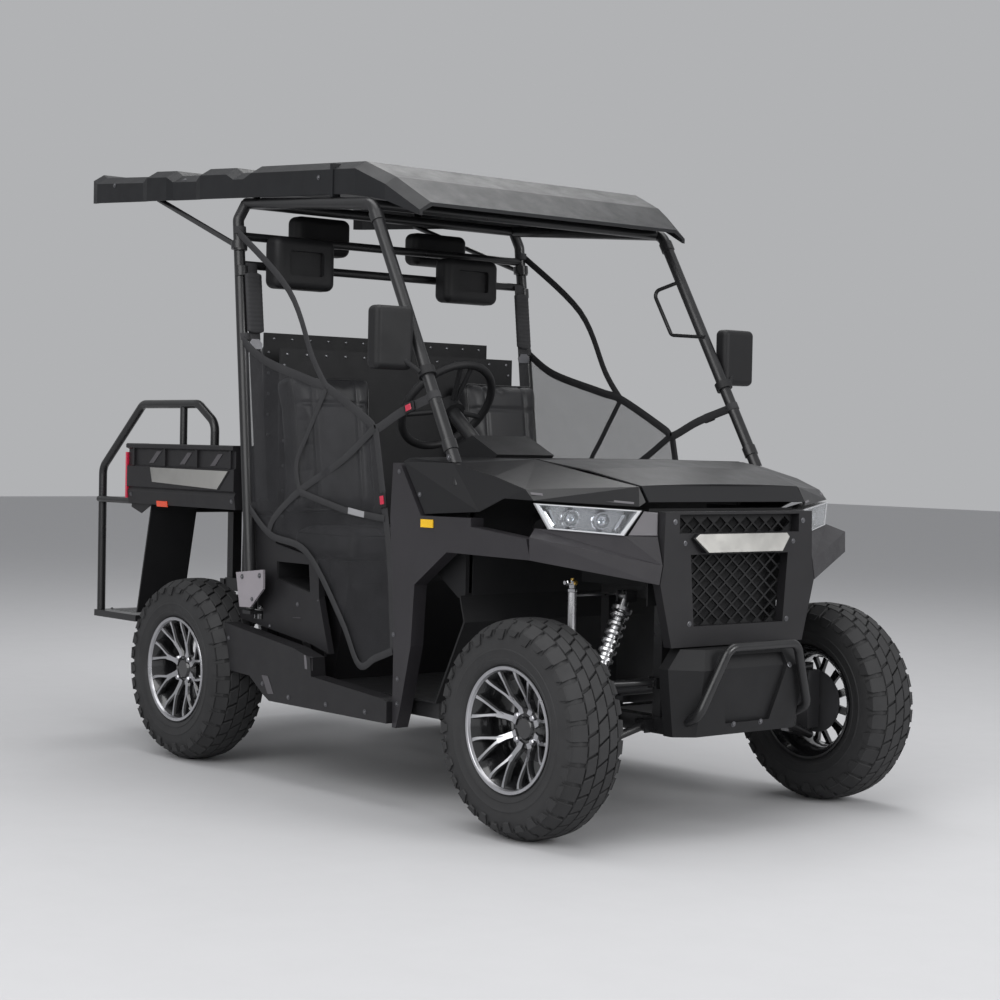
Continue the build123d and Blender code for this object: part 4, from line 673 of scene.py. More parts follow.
def loft(rings, closed=False):
    """A skin over rings with as many points each, capped at its ends unless it closes on itself."""
    size = len(rings[0])
    count = len(rings)
    points = [p for ring in rings for p in ring]
    faces = []
    for k in range(count if closed else count - 1):
        low = k * size
        high = ((k + 1) % count) * size
        for j in range(size):
            n = (j + 1) % size
            faces.append((low + j, low + n, high + n, high + j))
    if not closed:
        faces.append(tuple(range(size)))
        faces.append(tuple((count - 1) * size + j for j in range(size)))
    return points, faces


def shrunk(outline, edge):
    """An outline drawn in towards its middle."""
    middle = sum(outline, Vector()) / len(outline)
    return [p + (middle - p).normalized() * edge for p in outline]


def slab(outline, lift, edge=0.0015):
    """A plate on an outline, raised by a vector, with its upper edge chamfered."""
    side = [p + lift * 0.6 for p in outline]
    top = [p + lift for p in shrunk(outline, edge)]
    return loft([list(outline), side, top])


def square_to(axis):
    """A unit vector along an axis and two directions across it."""
    axis = axis.normalized()
    side = axis.orthogonal().normalized()
    return axis, side, axis.cross(side)


def circle(middle, side, over, radius, count):
    """Points round a middle, in the plane of two directions."""
    turns = [2 * math.pi * j / count for j in range(count)]
    return [middle + (side * math.cos(turn) + over * math.sin(turn)) * radius for turn in turns]


def revolve(profile, place, axis, count=24):
    """A turned solid from (radius, height) pairs about an axis through a point."""
    axis, side, over = square_to(axis)
    return loft([circle(place + axis * height, side, over, radius, count) for radius, height in profile])


def bolt(place, axis, radius=0.0065, height=0.005):
    """A flanged hexagon head standing on a surface."""
    axis, side, over = square_to(axis)
    rings = []
    # Columns: radius share, height share, whether the ring is a hexagon
    for share, lift, hexagon in ((1.45, -0.1, False), (1.45, 0.2, False), (1.1, 0.32, False),
                                 (1.0, 0.34, True), (1.0, 0.85, True), (0.82, 1.0, True)):
        middle = place + axis * (height * lift)
        ring = circle(middle, side, over, radius * share, 12)
        if hexagon:
            ring = [p.lerp(middle, 1 - math.cos(math.pi / 6)) if j % 2 else p for j, p in enumerate(ring)]
        rings.append(ring)
    return loft(rings)


def curve(points, steps=6):
    """A smooth run through points."""
    run = []
    for k in range(len(points) - 1):
        before = points[max(0, k - 1)]
        start = points[k]
        end = points[k + 1]
        after = points[min(len(points) - 1, k + 2)]
        for j in range(steps):
            t = j / steps
            cubic = 3 * start - before - 3 * end + after
            square = 2 * before - 5 * start + 4 * end - after
            run.append(0.5 * (2 * start + (end - before) * t + square * t * t + cubic * t ** 3))
    run.append(points[-1])
    return run


def hoop(route, radius, count):
    """A round bar along a closed run of points."""
    rings = []
    side = (route[1] - route[-1]).orthogonal()
    for k, point in enumerate(route):
        ahead = (route[(k + 1) % len(route)] - route[k - 1]).normalized()
        side = (side - ahead * side.dot(ahead)).normalized()
        rings.append(circle(point, side, ahead.cross(side), radius, count))
    return loft(rings, closed=True)


def strap(route, face, width, thick):
    """Flat webbing along a run of points, its flat side along face and its edges turned."""
    rings = []
    # Columns: share of the half width, share of the half thickness
    section = ((-1, -0.4), (-0.94, -1), (0.94, -1), (1, -0.4), (1, 0.4), (0.94, 1), (-0.94, 1), (-1, 0.4))
    for k, point in enumerate(route):
        ahead = route[min(len(route) - 1, k + 1)] - route[max(0, k - 1)]
        across = ahead.cross(face).normalized() * (width / 2)
        rings.append([point + across * a + face * (thick / 2) * b for a, b in section])
    return loft(rings)




# Seats

VOXEL = 0.012
SHRINK = 0.009
PRESSURE = 4.0
FRAMES = 20
BACK_LEAN = -8
CHANNEL_DEPTH = 0.0075
CHANNEL_WIDTH = 0.0075
WELT_RADIUS = 0.0032


def applied(obj):
    """Turn an object's modifiers into its mesh."""
    bpy.context.view_layer.update()
    shape = bpy.data.meshes.new_from_object(obj.evaluated_get(bpy.context.evaluated_depsgraph_get()))
    obj.modifiers.clear()
    obj.data = shape


def small_copy(name, node, half):
    """A copy of one soft solid, a little smaller all round; half is its side of the vehicle, or 0."""
    work = bmesh.new()
    work.from_mesh(nodes[node].data)
    if half:
        gone = [v for v in work.verts if v.co.y * half < 0]
        bmesh.ops.delete(work, geom=gone, context="VERTS")
    bmesh.ops.remove_doubles(work, verts=work.verts, dist=0.00005)
    for k in range(3):
        low = min(v.co[k] for v in work.verts)
        high = max(v.co[k] for v in work.verts)
        middle = (low + high) / 2
        for v in work.verts:
            v.co[k] = middle + (v.co[k] - middle) * (1 - 2 * SHRINK / (high - low))
    data = bpy.data.meshes.new(name)
    work.to_mesh(data)
    work.free()
    obj = bpy.data.objects.new(name, data)
    bpy.context.scene.collection.objects.link(obj)
    return obj


def swell(obj, cap):
    """Blow the piece up with the cloth solver and hold each point to a largest movement."""
    remesh = obj.modifiers.new("remesh", "REMESH")
    remesh.mode = "VOXEL"
    remesh.voxel_size = VOXEL
    applied(obj)
    home = [v.co.copy() for v in obj.data.vertices]
    cloth = obj.modifiers.new("cloth", "CLOTH").settings
    cloth.use_pressure = True
    cloth.uniform_pressure_force = PRESSURE
    cloth.effector_weights.gravity = 0.0
    cloth.quality = 5
    cloth.tension_stiffness = 25.0
    cloth.compression_stiffness = 25.0
    cloth.bending_stiffness = 3.0
    for step in range(1, FRAMES + 1):
        bpy.context.scene.frame_set(step)
    applied(obj)
    bpy.context.scene.frame_set(1)
    for v, start in zip(obj.data.vertices, home):
        move = v.co - start
        if move.length > 1e-6:
            v.co = start + move.normalized() * cap * math.tanh(move.length / cap)


def sew(obj, face, grooves, rest):
    """Smooth the piece, press its sewn channels in and flatten it where it rests."""
    smooth = obj.modifiers.new("smooth", "SUBSURF")
    smooth.levels = 1
    smooth.render_levels = 1
    applied(obj)
    data = obj.data
    data.polygons.foreach_set("use_smooth", [True] * len(data.polygons))
    normals = [v.normal.copy() for v in data.vertices]
    rest_point, rest_side = rest
    for v, normal in zip(data.vertices, normals):
        share = max(0.0, (normal.dot(face) - 0.25) / 0.75)
        if share > 0:
            press = 0.0
            for origin, across in grooves:
                distance = (v.co - origin).dot(across)
                press = max(press, math.exp(-(distance / CHANNEL_WIDTH) ** 2))
            v.co -= face * (CHANNEL_DEPTH * press * share)
        gap = (v.co - rest_point).dot(rest_side)
        if gap < 0:
            v.co -= rest_side * gap


def piping(obj, corners):
    """A round welt that follows the piece's skin along the edges between four corners."""
    tree = tree_of(obj.data)
    run = []
    for k in range(4):
        for j in range(28):
            aim = corners[k].lerp(corners[(k + 1) % 4], j / 28)
            place, normal, index, distance = tree.find_nearest(aim)
            run.append(place + normal * WELT_RADIUS * 0.3)
    for turn in range(6):
        run = [(run[k - 1] + run[k] * 2 + run[(k + 1) % len(run)]) / 4 for k in range(len(run))]
    return hoop(run, WELT_RADIUS, 8)


def upholster(name, node, half, cap, face, grooves, rest, corners):
    """One stuffed seat piece with its channels and welt, standing for its solid."""
    obj = small_copy(name, node, half)
    swell(obj, cap)
    sew(obj, face, grooves, rest)
    obj.data.materials.clear()
    obj.data.materials.append(MATERIALS["vinyl"])
    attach(obj, "chassis")
    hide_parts(node)
    piece(name + "_welt", [piping(obj, corners)], "welt", 60)


def channels(places):
    """Sewn channels at places across the vehicle."""
    return [(at(0, y, 0), ACROSS) for y in places]


def build_front_seat(side):
    """One front cushion and its leaning back."""
    half = SIDES[side]
    grooves = channels((175 * half, 430 * half))
    grooves.append((at(-385, 0, 0), AHEAD))
    corners = [at(x, y * half, 870) for x, y in ((-470, 15), (-75, 15), (-75, 590), (-470, 590))]
    upholster("front_cushion_" + side, "front_seat_cushions", half, 0.016, UP, grooves,
              (at(0, 0, 765.4), UP), corners)
    lean = Matrix.Rotation(math.radians(BACK_LEAN), 3, "Y")
    foot = at(-463.3, 0, 895)
    face = lean @ AHEAD
    rise = lean @ UP
    corners = []
    for y, z in ((0.205, 0), (0.585, 0), (0.585, 0.527), (0.205, 0.527)):
        corners.append(foot + face * 0.060 + ACROSS * (y * half) + rise * z)
    grooves = channels((300 * half, 490 * half)) + [(foot + rise * 0.405, rise)]
    upholster("front_back_" + side, "front_seat_backs", half, 0.016, face, grooves,
              (at(-591.5, 0, 0), AHEAD), corners)


def build_rear_seat():
    """The rear-facing cushion and back."""
    grooves = channels((-173, 173)) + [(at(-915, 0, 0), AHEAD)]
    corners = [at(x, y, 1105) for x, y in ((-1290, -520), (-840, -520), (-840, 520), (-1290, 520))]
    upholster("rear_cushion", "rear_seat_cushion", 0, 0.016, UP, grooves, (at(0, 0, 1000.4), UP), corners)
    corners = [at(-825, y, z) for y, z in ((-510, 1120), (510, 1120), (510, 1545), (-510, 1545))]
    upholster("rear_back", "rear_seat_back", 0, 0.014, BACK, channels((-170, 170)),
              (at(-735.4, 0, 0), BACK), corners)


# Side nets, in mm ahead and up

NET_Y = 0.6675
NET_STEP = 22
NET_ROW = 21
NET_MARGIN = 9
FOLD_HEIGHT = 0.0055
FOLD_FADE = 120
NET_OUTLINE = ((-632.5, 1530), (-497, 1450), (-101, 1349), (174, 1211), (256, 810), (285, 500), (103, 440),
               (-3, 580), (-208, 790), (-430, 840), (-564.4, 930))
# Webbing on each net: width in mm, and its route
NET_STRAPS = (
    (30, ((-646, 1530), (-497, 1450), (-224, 1378), (-101, 1347), (129, 1238), (168, 1214), (300, 1268),
          (466, 1318))),
    (26, ((-688, 1915), (-349, 1687), (-197, 1450), (-105, 1345))),
    (30, ((168, 1214), (219, 985), (256, 800), (276, 600), (283, 504))),
    (26, ((163, 1217), (-18, 1107), (-261, 1000), (-411, 905), (-448, 848))),
    (22, ((-115, 1345), (-215, 1200), (-282, 1095), (-262, 1000))),
    (22, ((-261, 998), (4, 945), (120, 934), (228, 925))),
    (24, ((-572, 940), (-564, 928), (-430, 842), (-208, 792), (-3, 582), (100, 442), (190, 470),
          (283, 502))),
)
# Where the webbing is looped round the cage tubes: which post, height in mm
NET_LOOPS = (("A", 1318), ("B", 1535), ("B", 1915), ("B", 935))
LOOP_SECTION = ((0.0203, -0.013), (0.0226, -0.012), (0.0226, 0.012), (0.0203, 0.013))
# Buckles on the webbing: place ahead and up, turn in degrees
NET_BUCKLES = ((352, 1284, 16), (221, 985, 100))
NET_LABEL = ((28, 955), (118, 944), (116, 924), (26, 934))
# The middle line of each kind of cage post on the left side, from foot to head
POSTS = {"A": ((586, 675, 1116), (109, 657, 1950)), "B": ((-545, 657, 575), (-700, 657, 2014))}


def post_point(post, sign, height):
    """The middle of a cage post at a height, and the way that the post runs."""
    foot, head = [at(x, y * sign, z) for x, y, z in POSTS[post]]
    share = (height / 1000 - foot.z) / (head.z - foot.z)
    return foot.lerp(head, share), (head - foot).normalized()


def edges(outline):
    """Each corner of an outline with the next one."""
    return zip(outline, outline[1:] + outline[:1])


def inside(x, z, outline):
    """Whether a point is inside an outline."""
    flag = False
    for (x0, z0), (x1, z1) in edges(outline):
        if (z0 > z) != (z1 > z) and x < x0 + (x1 - x0) * (z - z0) / (z1 - z0):
            flag = not flag
    return flag


def edge_distance(x, z, outline):
    """How far a point is from an outline, in the outline's units."""
    p = Vector((x, z))
    best = []
    for start, end in edges(outline):
        a = Vector(start)
        along = Vector(end) - a
        share = max(0.0, min(1.0, (p - a).dot(along) / along.length_squared))
        best.append((p - a - along * share).length)
    return min(best)


def build_net_cloth(side):
    """The mesh cloth of one net, with soft folds that fade towards its bound edge."""
    flat = []
    for start, end in edges(NET_OUTLINE):
        a = Vector(start)
        b = Vector(end)
        pieces = max(1, int((b - a).length / NET_STEP))
        flat.extend(a.lerp(b, j / pieces) for j in range(pieces))
    border = len(flat)
    for column in range(-30, 15):
        for row in range(20, 74):
            x = column * NET_STEP
            z = row * NET_ROW + (10 if column % 2 else 0)
            if inside(x, z, NET_OUTLINE) and edge_distance(x, z, NET_OUTLINE) > NET_MARGIN:
                flat.append(Vector((x, z)))
    found = delaunay_2d_cdt(flat, [], [list(range(border))], 1, 0.001)
    points = []
    for p in found[0]:
        fade = min(1.0, edge_distance(p.x, p.y, NET_OUTLINE) / FOLD_FADE)
        fold = math.sin(p.x * 0.016 + p.y * 0.009) + 0.6 * math.sin(p.y * 0.023 - p.x * 0.011 + 1.3)
        fold += 0.35 * math.sin((p.x + p.y) * 0.041)
        points.append(at(p.x, 0, p.y) + ACROSS * (SIDES[side] * (NET_Y + FOLD_HEIGHT * fade * fold)))
    net = add_mesh("net_cloth_" + side, points, [tuple(f) for f in found[2]], "net", 80,
                   replaced=("side_net_" + side,))
    return net


def build_net_webbing(side):
    """The webbing of one net and its loops round the cage tubes."""
    sign = SIDES[side]
    parts = []
    for k, (width, route) in enumerate(NET_STRAPS):
        run = [at(x, sign * (672.2 + 0.6 * k), z) for x, z in route]
        parts.append(strap(curve(run, 7), ACROSS * sign, width / 1000, 0.0022))
    for post, height in NET_LOOPS:
        middle, along = post_point(post, sign, height)
        parts.append(revolve(LOOP_SECTION, middle, along, 28))
    webbing = piece("net_webbing_" + side, parts, "webbing", 50)
    return webbing


def build_net(side):
    """One side net: cloth, webbing and tube loops."""
    net = build_net_cloth(side)
    webbing = build_net_webbing(side)


def build_buckles(side):
    """The buckles on a net's webbing, their tabs and a blank label."""
    sign = SIDES[side]
    face = ACROSS * sign
    bodies = []
    tabs = []
    for x, z, turn in NET_BUCKLES:
        middle = at(x, sign * 674, z)
        along = Vector((math.cos(math.radians(turn)), 0, math.sin(math.radians(turn))))
        over = Vector((-along.z, 0, along.x))
        shell = [middle + along * a * 0.026 + over * b * 0.017 for a, b in
                 ((-1, -0.8), (-0.8, -1), (0.8, -1), (1, -0.8), (1, 0.8), (0.8, 1), (-0.8, 1), (-1, 0.8))]
        bodies.append(slab(shell, face * 0.008, 0.003))
        tab = [middle + face * 0.008 + along * a * 0.014 + over * b * 0.010
               for a, b in ((-1, -1), (1, -1), (1, 1), (-1, 1))]
        tabs.append(slab(tab, face * 0.002, 0.001))
    piece("net_buckles_" + side, bodies, "grained", 30)
    piece("buckle_tabs_" + side, tabs, "red", 30)
    label = [at(x, sign * 676.4, z) for x, z in NET_LABEL]
    piece("net_label_" + side, [slab(label, face * 0.0008, 0.001)], "label", 30)


# Seat belts

BELT_Y = 626
BELT_LEAN = 0.1124
PAD_FOOT = 1550
PAD_HEIGHT = 215
PAD_STEPS = 80
PAD_RIBS = 14
# Outlines on a belt in mm: across, up
LATCH_PLATE = ((-26, 1492), (26, 1492), (29, 1512), (16, 1529), (-16, 1529), (-29, 1512))
BELT_ANCHOR = ((-24, 917), (24, 917), (24, 955), (16, 964), (-16, 964), (-24, 955))


def on_belt(y, z, lift):
    """A place before a belt's front, in mm: the belts lean with the rear posts."""
    return at(-523 - (z - 575) * BELT_LEAN + lift, y, z)


def shoulder_pad(y):
    """One ribbed pad round a belt, drawn in at its ends."""
    rings = []
    for k in range(PAD_STEPS + 1):
        rise = PAD_HEIGHT * k / PAD_STEPS
        rib = 1 + 0.10 * math.cos(2 * math.pi * PAD_RIBS * rise / PAD_HEIGHT)
        end = min(1.0, 0.55 + min(rise, PAD_HEIGHT - rise) / 14)
        ring = []
        for j in range(20):
            turn = 2 * math.pi * j / 20
            wide = math.copysign(abs(math.cos(turn)) ** 0.6, math.cos(turn)) * 0.034 * end
            deep = math.copysign(abs(math.sin(turn)) ** 0.8, math.sin(turn)) * 0.0098 * rib * end
            ring.append(on_belt(y, PAD_FOOT + rise, 10) + Vector((deep, wide, 0)))
        rings.append(ring)
    return loft(rings)


def build_belts():
    """Webbing, ribbed shoulder pads, latch plates and anchors of both belts."""
    face = Vector((1, 0, BELT_LEAN)).normalized()
    webs = []
    pads = []
    plates = []
    anchors = []
    for sign in SIDES.values():
        y = BELT_Y * sign
        webs.append(strap([on_belt(y, z, 1) for z in range(915, 1801, 15)], face, 0.048, 0.0024))
        pads.append(shoulder_pad(y))
        plates.append(slab([on_belt(y + w, z, 3.5) for w, z in LATCH_PLATE], face * 0.004, 0.001))
        anchors.append(slab([on_belt(y + w, z, 1.5) for w, z in BELT_ANCHOR], face * 0.011, 0.004))
    belts = piece("belt_webbing", webs, "webbing", 50, replaced=("seat_belts",))
    sleeves = piece("belt_pads", pads, "webbing", 80)
    piece("belt_plates", plates, "plated_dark", 30)
    piece("belt_anchors", anchors, "grained", 30)


# Lamps

# Corners of a headlight in mm: ahead, out from the centre line, up
LAMP_CORNERS = ((1095, 359, 982), (935, 653, 1000), (959, 615, 922.8), (1071, 408, 905.5))
LAMP_FACE = (0.879, 0.477, 0.03)
# Turned profiles in metres: radius, height
LAMP_RING = ((0.0262, 0.0002), (0.0300, 0.0002), (0.0300, 0.0030), (0.0285, 0.0042), (0.0265, 0.0030))
SOCKET = ((0.0245, 0.0003), (0.0245, 0.0020), (0.012, 0.0010), (0.0118, 0.0035), (0.0090, 0.0035))
BULB = ((0.0088, 0.0035), (0.0088, 0.0075), (0.0070, 0.0115), (0.0040, 0.0135), (0.0008, 0.0140))


def on_lamp(point, face, reach):
    """Where a line that starts before a headlight meets it."""
    return hit("headlights", point + face * reach, -face)[0]


def lamp_bar(outer, face, share, width):
    """A bright upright bar across a headlight, a share of the way out."""
    top = outer[0].lerp(outer[1], share)
    low = outer[3].lerp(outer[2], share)
    base = [on_lamp(top.lerp(low, part), face, 0.05) for part in (0.16, 0.84)]
    along = (outer[1] - outer[0]).normalized() * width
    deepest = min(p.dot(face) for p in base)
    level = [p + face * (deepest - p.dot(face)) for p in base]
    return slab([level[0] - along, level[0] + along, level[1] + along, level[1] - along], face * 0.010, 0.003)


def build_lamps():
    """Bezels, clear lenses, reflector rings, bulbs and end bars of the headlights."""
    bezels = []
    lenses = []
    rings = []
    bulbs = []
    bars = []
    for sign in SIDES.values():
        face = Vector((LAMP_FACE[0], LAMP_FACE[1] * sign, LAMP_FACE[2])).normalized()
        corners = [at(x, y * sign, z) for x, y, z in LAMP_CORNERS]
        centre = sum(corners, Vector()) / 4
        outer = [on_lamp(p.lerp(centre, 0.03), face, 0.2) for p in corners]
        ribs = [[o + face * 0.0003, o + face * 0.0045, i + face * 0.0045, i + face * 0.0003]
                for o, i in zip(outer, shrunk(outer, 0.011))]
        bezels.append(loft(ribs, closed=True))
        lenses.append(slab([p + face * 0.0012 for p in shrunk(outer, 0.0115)], face * 0.0022, 0.001))
        inboard = outer[0].lerp(outer[3], 0.5)
        outboard = outer[1].lerp(outer[2], 0.5)
        rise = (outer[0] - outer[3]).normalized()
        for share in (0.32, 0.66):
            middle = inboard.lerp(outboard, share)
            floor = on_lamp(middle, face, 0.1)
            rim = on_lamp(middle + rise * 0.0275, face, 0.1)
            rings.append(revolve(LAMP_RING, middle + face * (rim - middle).dot(face), face, 36))
            rings.append(revolve(SOCKET, floor, face, 36))
            bulbs.append(revolve(BULB, floor, face, 24))
        bars.append(lamp_bar(outer, face, 0.115, 0.005))
        bars.append(lamp_bar(outer, face, 0.865, 0.004))
    piece("lamp_bezels", bezels, "white_trim", 35)
    piece("lamp_rings", rings, "chrome", 35)
    piece("lamp_bulbs", bulbs, "lens", 35)
    piece("lamp_bars", bars, "chrome", 35)
    piece("lamp_lenses", lenses, "lens", 35)


# Plates and reflectors

# The badge plate on the bed's side in mm, ahead and up, and the places that it has to clear
BED_BADGE = ((-1246, 1061), (-687, 1058), (-758, 989), (-1230, 1005))
BADGE_PROBES = ((-1236, 1050), (-705, 1050), (-765, 995), (-1225, 1010), (-960, 1030), (-1100, 1030),
                (-850, 1030))
# The nose bar between the two grille openings, in mm: ahead, across, up
NOSE_BAR = ((1175, 216, 900), (1178, 200, 913), (1178, -200, 913), (1175, -216, 900), (1189, -170, 855),
            (1189, 170, 855))


def pad_on(node, start, aim, wide, tall, lift, edge=0.0015):
    """A small plate seated on a CAD surface where a line from a point meets it."""
    place, normal = hit(node, start, aim)
    along = normal.cross(UP).normalized()
    over = along.cross(normal).normalized()
    base = [place + normal * 0.0003 + along * a * wide / 2 + over * b * tall / 2
            for a, b in ((-1, -1), (1, -1), (1, 1), (-1, 1))]
    return slab(base, normal * lift, edge)


def build_badges():
    """Blank badge plates on the bed and the nose."""
    silver = []
    backs = []
    for sign in SIDES.values():
        out = ACROSS * sign
        reach = max(abs(hit("cargo_bed", at(x, 900 * sign, z), -out)[0].y) for x, z in BADGE_PROBES)
        corners = [at(x, (reach * 1000 + 0.4) * sign, z) for x, z in BED_BADGE]
        backs.append(slab(corners, out * 0.0022, 0.002))
        silver.append(slab([p + out * 0.0022 for p in shrunk(corners, 0.009)], out * 0.0012, 0.001))
    foot = [at(1162.4, y, z) for x, y, z in NOSE_BAR]
    face = [at(x - 2, y, z) for x, y, z in NOSE_BAR]
    backs.append(loft([foot, face]))
    silver.append(slab(shrunk(face, 0.007), Vector((0.97, 0, 0.22)) * 0.0025, 0.001))
    piece("badge_backs", backs, "gloss", 30)
    piece("badge_plates", silver, "brushed", 30)


def build_reflectors():
    """Side reflectors and the windows of the tail lamps."""
    amber = []
    red = []
    clear = []
    for sign in SIDES.values():
        inward = ACROSS * -sign
        amber.append(pad_on("front_fenders", at(485, 900 * sign, 921), inward, 0.062, 0.026, 0.004))
        red.append(pad_on("cargo_bed", at(-1162, 900 * sign, 925), inward, 0.075, 0.022, 0.004))
        clear.append(pad_on("tail_lights", at(-1600, 665 * sign, 1090), AHEAD, 0.030, 0.028, 0.003))
    piece("amber_reflectors", amber, "amber", 35)
    piece("red_reflectors", red, "orange", 35)
    piece("tail_lamp_windows", clear, "white_trim", 35)


# Screws and rivets

# Columns: node, way to the surface, head radius in mm, places in mm.
# A place is ahead and up for a screw that looks in from the side, and out and up for the others.
SCREWS = (
    ("cage_foot_covers", "in", 6.5, ((-565, 690), (-455, 700))),
    ("cage_foot_covers", "in", 5.5, ((-500, 615),)),
    ("sills", "in", 6, ((-400, 330), (-240, 300), (-20, 300), (200, 300))),
    ("sills", "in", 5.5, ((-620, 470),)),
    ("quarter_panels", "in", 5.5, ((-300, 610), (-470, 520))),
    ("front_fenders", "in", 5.5, ((335, 1080), (320, 560), (345, 420), (345, 340))),
    ("cowl_sides", "in", 5.5, ((430, 1010),)),
    ("cargo_bed", "in", 5.5, ((-1390, 955), (-680, 950))),
    ("roll_cage", "in", 6.5, ((579, 1130),)),
    ("roof_panel", "in", 6, ((-1600, 2150), (-1100, 2130), (-200, 2060))),
    ("front_fascia", "back", 6, ((284, 950), (216, 640))),
    ("front_fascia", "back", 5.5, ((240, 885),)),
    ("skid_block", "back", 6.5, ((150, 505), (60, 330))),
    ("tailgate", "ahead", 6, ((480, 1060), (480, 965))),
    ("foot_step", "ahead", 6, ((540, 478),)),
    ("mudguards", "ahead", 5.5, ((560, 760), (560, 560))),
)
RIVET = ((0.0062, -0.0002), (0.0062, 0.0006), (0.0050, 0.0018), (0.0028, 0.0026), (0.0006, 0.0028))


def screw_line(way, first, z, sign):
    """Where the line to a screw starts, and its way."""
    if way == "in":
        return at(first, 900 * sign, z), ACROSS * -sign
    if way == "back":
        return at(1400, first * sign, z), BACK
    return at(-1900, first * sign, z), AHEAD


def build_screws():
    """Every visible screw head, both sides of the vehicle."""
    groups = {"chassis": [], "tailgate": []}
    for node, way, radius, places in SCREWS:
        group = groups["tailgate" if node == "tailgate" else "chassis"]
        for first, z in places:
            for sign in SIDES.values():
                place, normal = hit(node, *screw_line(way, first, z, sign))
                group.append(bolt(place, normal, radius / 1000, radius * 0.00075))
    for body, parts in groups.items():
        piece("screws_" + body, parts, "plated_dark", 30, body)


def build_rivets():
    """Domed rivets along the edges of the bulkhead and of the rear seat's board."""
    starts = []
    for k in range(13):
        starts.append(("bulkhead", at(0, -510 + 85 * k, 1480)))
        starts.append(("rear_seat_board", at(-700, -480 + 80 * k, 1540)))
    for k in range(7):
        for sign in SIDES.values():
            starts.append(("bulkhead", at(0, 522 * sign, 1440 - 90 * k)))
            starts.append(("rear_seat_board", at(-700, 502 * sign, 1490 - 75 * k)))
    parts = [revolve(RIVET, *hit(node, start, BACK), 14) for node, start in starts]
    piece("rivets", parts, "plated_dark", 60)


# Small fittings

# Outlines in mm: a mirror and a bin's rear wall as (across, up), a bin's side as (ahead, up)
MIRROR_PANE = ((718, 1420), (722, 1418), (828, 1418), (832, 1424), (832, 1576), (828, 1582), (722, 1582),
               (718, 1578))
BIN_BACK = ((-452, 622), (-228, 622), (-228, 762), (-452, 762))
BIN_WALL = ((394, 690), (645, 690), (645, 749.4), (394, 749.4))
# A bin's top in mm: ahead, across, up
BIN_SHELF = ((-429.6, 394, 690.5), (-226, 394, 655.8), (-226, 645, 655.8), (-429.6, 645, 690.5))
# Turned profiles in metres: radius, height
CLAMP = ((0.0202, -0.019), (0.0240, -0.017), (0.0240, 0.017), (0.0202, 0.019))
GAUGE_RING = ((0.046, 0.0003), (0.052, 0.0003), (0.052, 0.006), (0.049, 0.008), (0.046, 0.006))
GAUGE_GLASS = ((0.0455, 0.0004), (0.0455, 0.0035), (0.0440, 0.0042), (0.0010, 0.0048))


def build_fittings():
    """Mirror glasses and the clamps on the cage's posts."""
    glasses = []
    collars = []
    for sign in SIDES.values():
        glasses.append(slab([at(346.5, y * sign, z) for y, z in MIRROR_PANE], BACK * 0.0016, 0.002))
        for post, height in (("A", 1165), ("A", 1905), ("B", 1770), ("B", 1860)):
            middle, along = post_point(post, sign, height)
            collars.append(revolve(CLAMP, middle, along, 28))
    piece("mirror_glasses", glasses, "mirror", 30)
    piece("cage_clamps", collars, "powder", 35)


def build_gauge():
    """The round gauge on the dashboard."""
    place, normal = hit("dashboard", at(-100, -330, 1165), AHEAD)
    piece("gauge_ring", [revolve(GAUGE_RING, place, normal, 40)], "chrome", 35)
    piece("gauge_glass", [revolve(GAUGE_GLASS, place, normal, 40)], "gloss", 35)


def build_bins():
    """Liners in the storage mouths under the front seats: side, rear wall and top."""
    bins = []
    for sign in SIDES.values():
        bins.append(slab([at(x, 392 * sign, z) for x, z in BIN_BACK], ACROSS * (-0.003 * sign), 0.001))
        bins.append(slab([at(-429.6, y * sign, z) for y, z in BIN_WALL], AHEAD * 0.002, 0.001))
        shelf = [at(x, y * sign, z) for x, y, z in BIN_SHELF]
        bins.append(slab(shelf, Vector((0.0003, 0, 0.002)), 0.001))
    piece("bin_backs", bins, "grained", 30)


def build_switches():
    """A row of switches on the dashboard."""
    switches = [pad_on("dashboard", at(-100, y, 1085), AHEAD, 0.030, 0.018, 0.006, edge=0.003)
                for y in (-110, -60, -10, 40)]
    piece("dash_switches", switches, "gloss", 35)


# Painted light placed from the photograph: lighter slabs for lit facets and highlight strips

# Columns: nodes that may carry the piece, finish, lift in mm, outline as (across, down) in the photograph
PATCHES = (
    # painted highlight strip along the cowl's edge
    (("cowl_sides",), "grey_trim_and_highlight", 2.0, ((530, 492.5), (634, 502.5), (634, 504.5), (531, 495))),
    # painted lit sides of the diagonal facets in the bed's recess panels
    (("cargo_bed",), "painted_lit_facet", 2.0, ((157.5, 451), (162, 451), (154, 463), (149.5, 463))),
    (("cargo_bed",), "painted_lit_facet", 2.0, ((188, 452.5), (192.5, 452.5), (185, 464.5), (180, 464.5))),
    (("cargo_bed",), "painted_lit_facet", 2.0, ((218.5, 454), (223, 454), (215.5, 466), (210.5, 466))),
    # painted lit facets on the quarter panel
    (("quarter_panels", "seat_base"), "painted_lit_facet", 2.5,
     ((293, 617), (301, 617.5), (312.5, 650), (306, 651))),
    (("quarter_panels", "seat_base"), "painted_lit_facet", 2.0,
     ((317.5, 600), (320, 600), (327.5, 656), (325, 657))),
    # painted highlight on the sill, then a painted lit facet
    (("sills",), "grey_trim_and_highlight", 3.0, ((304, 655), (312.5, 657.5), (312.5, 671), (305, 669))),
    (("sills",), "painted_lit_facet", 2.0, ((262, 675), (268, 676), (273.5, 694), (268, 694))),
)


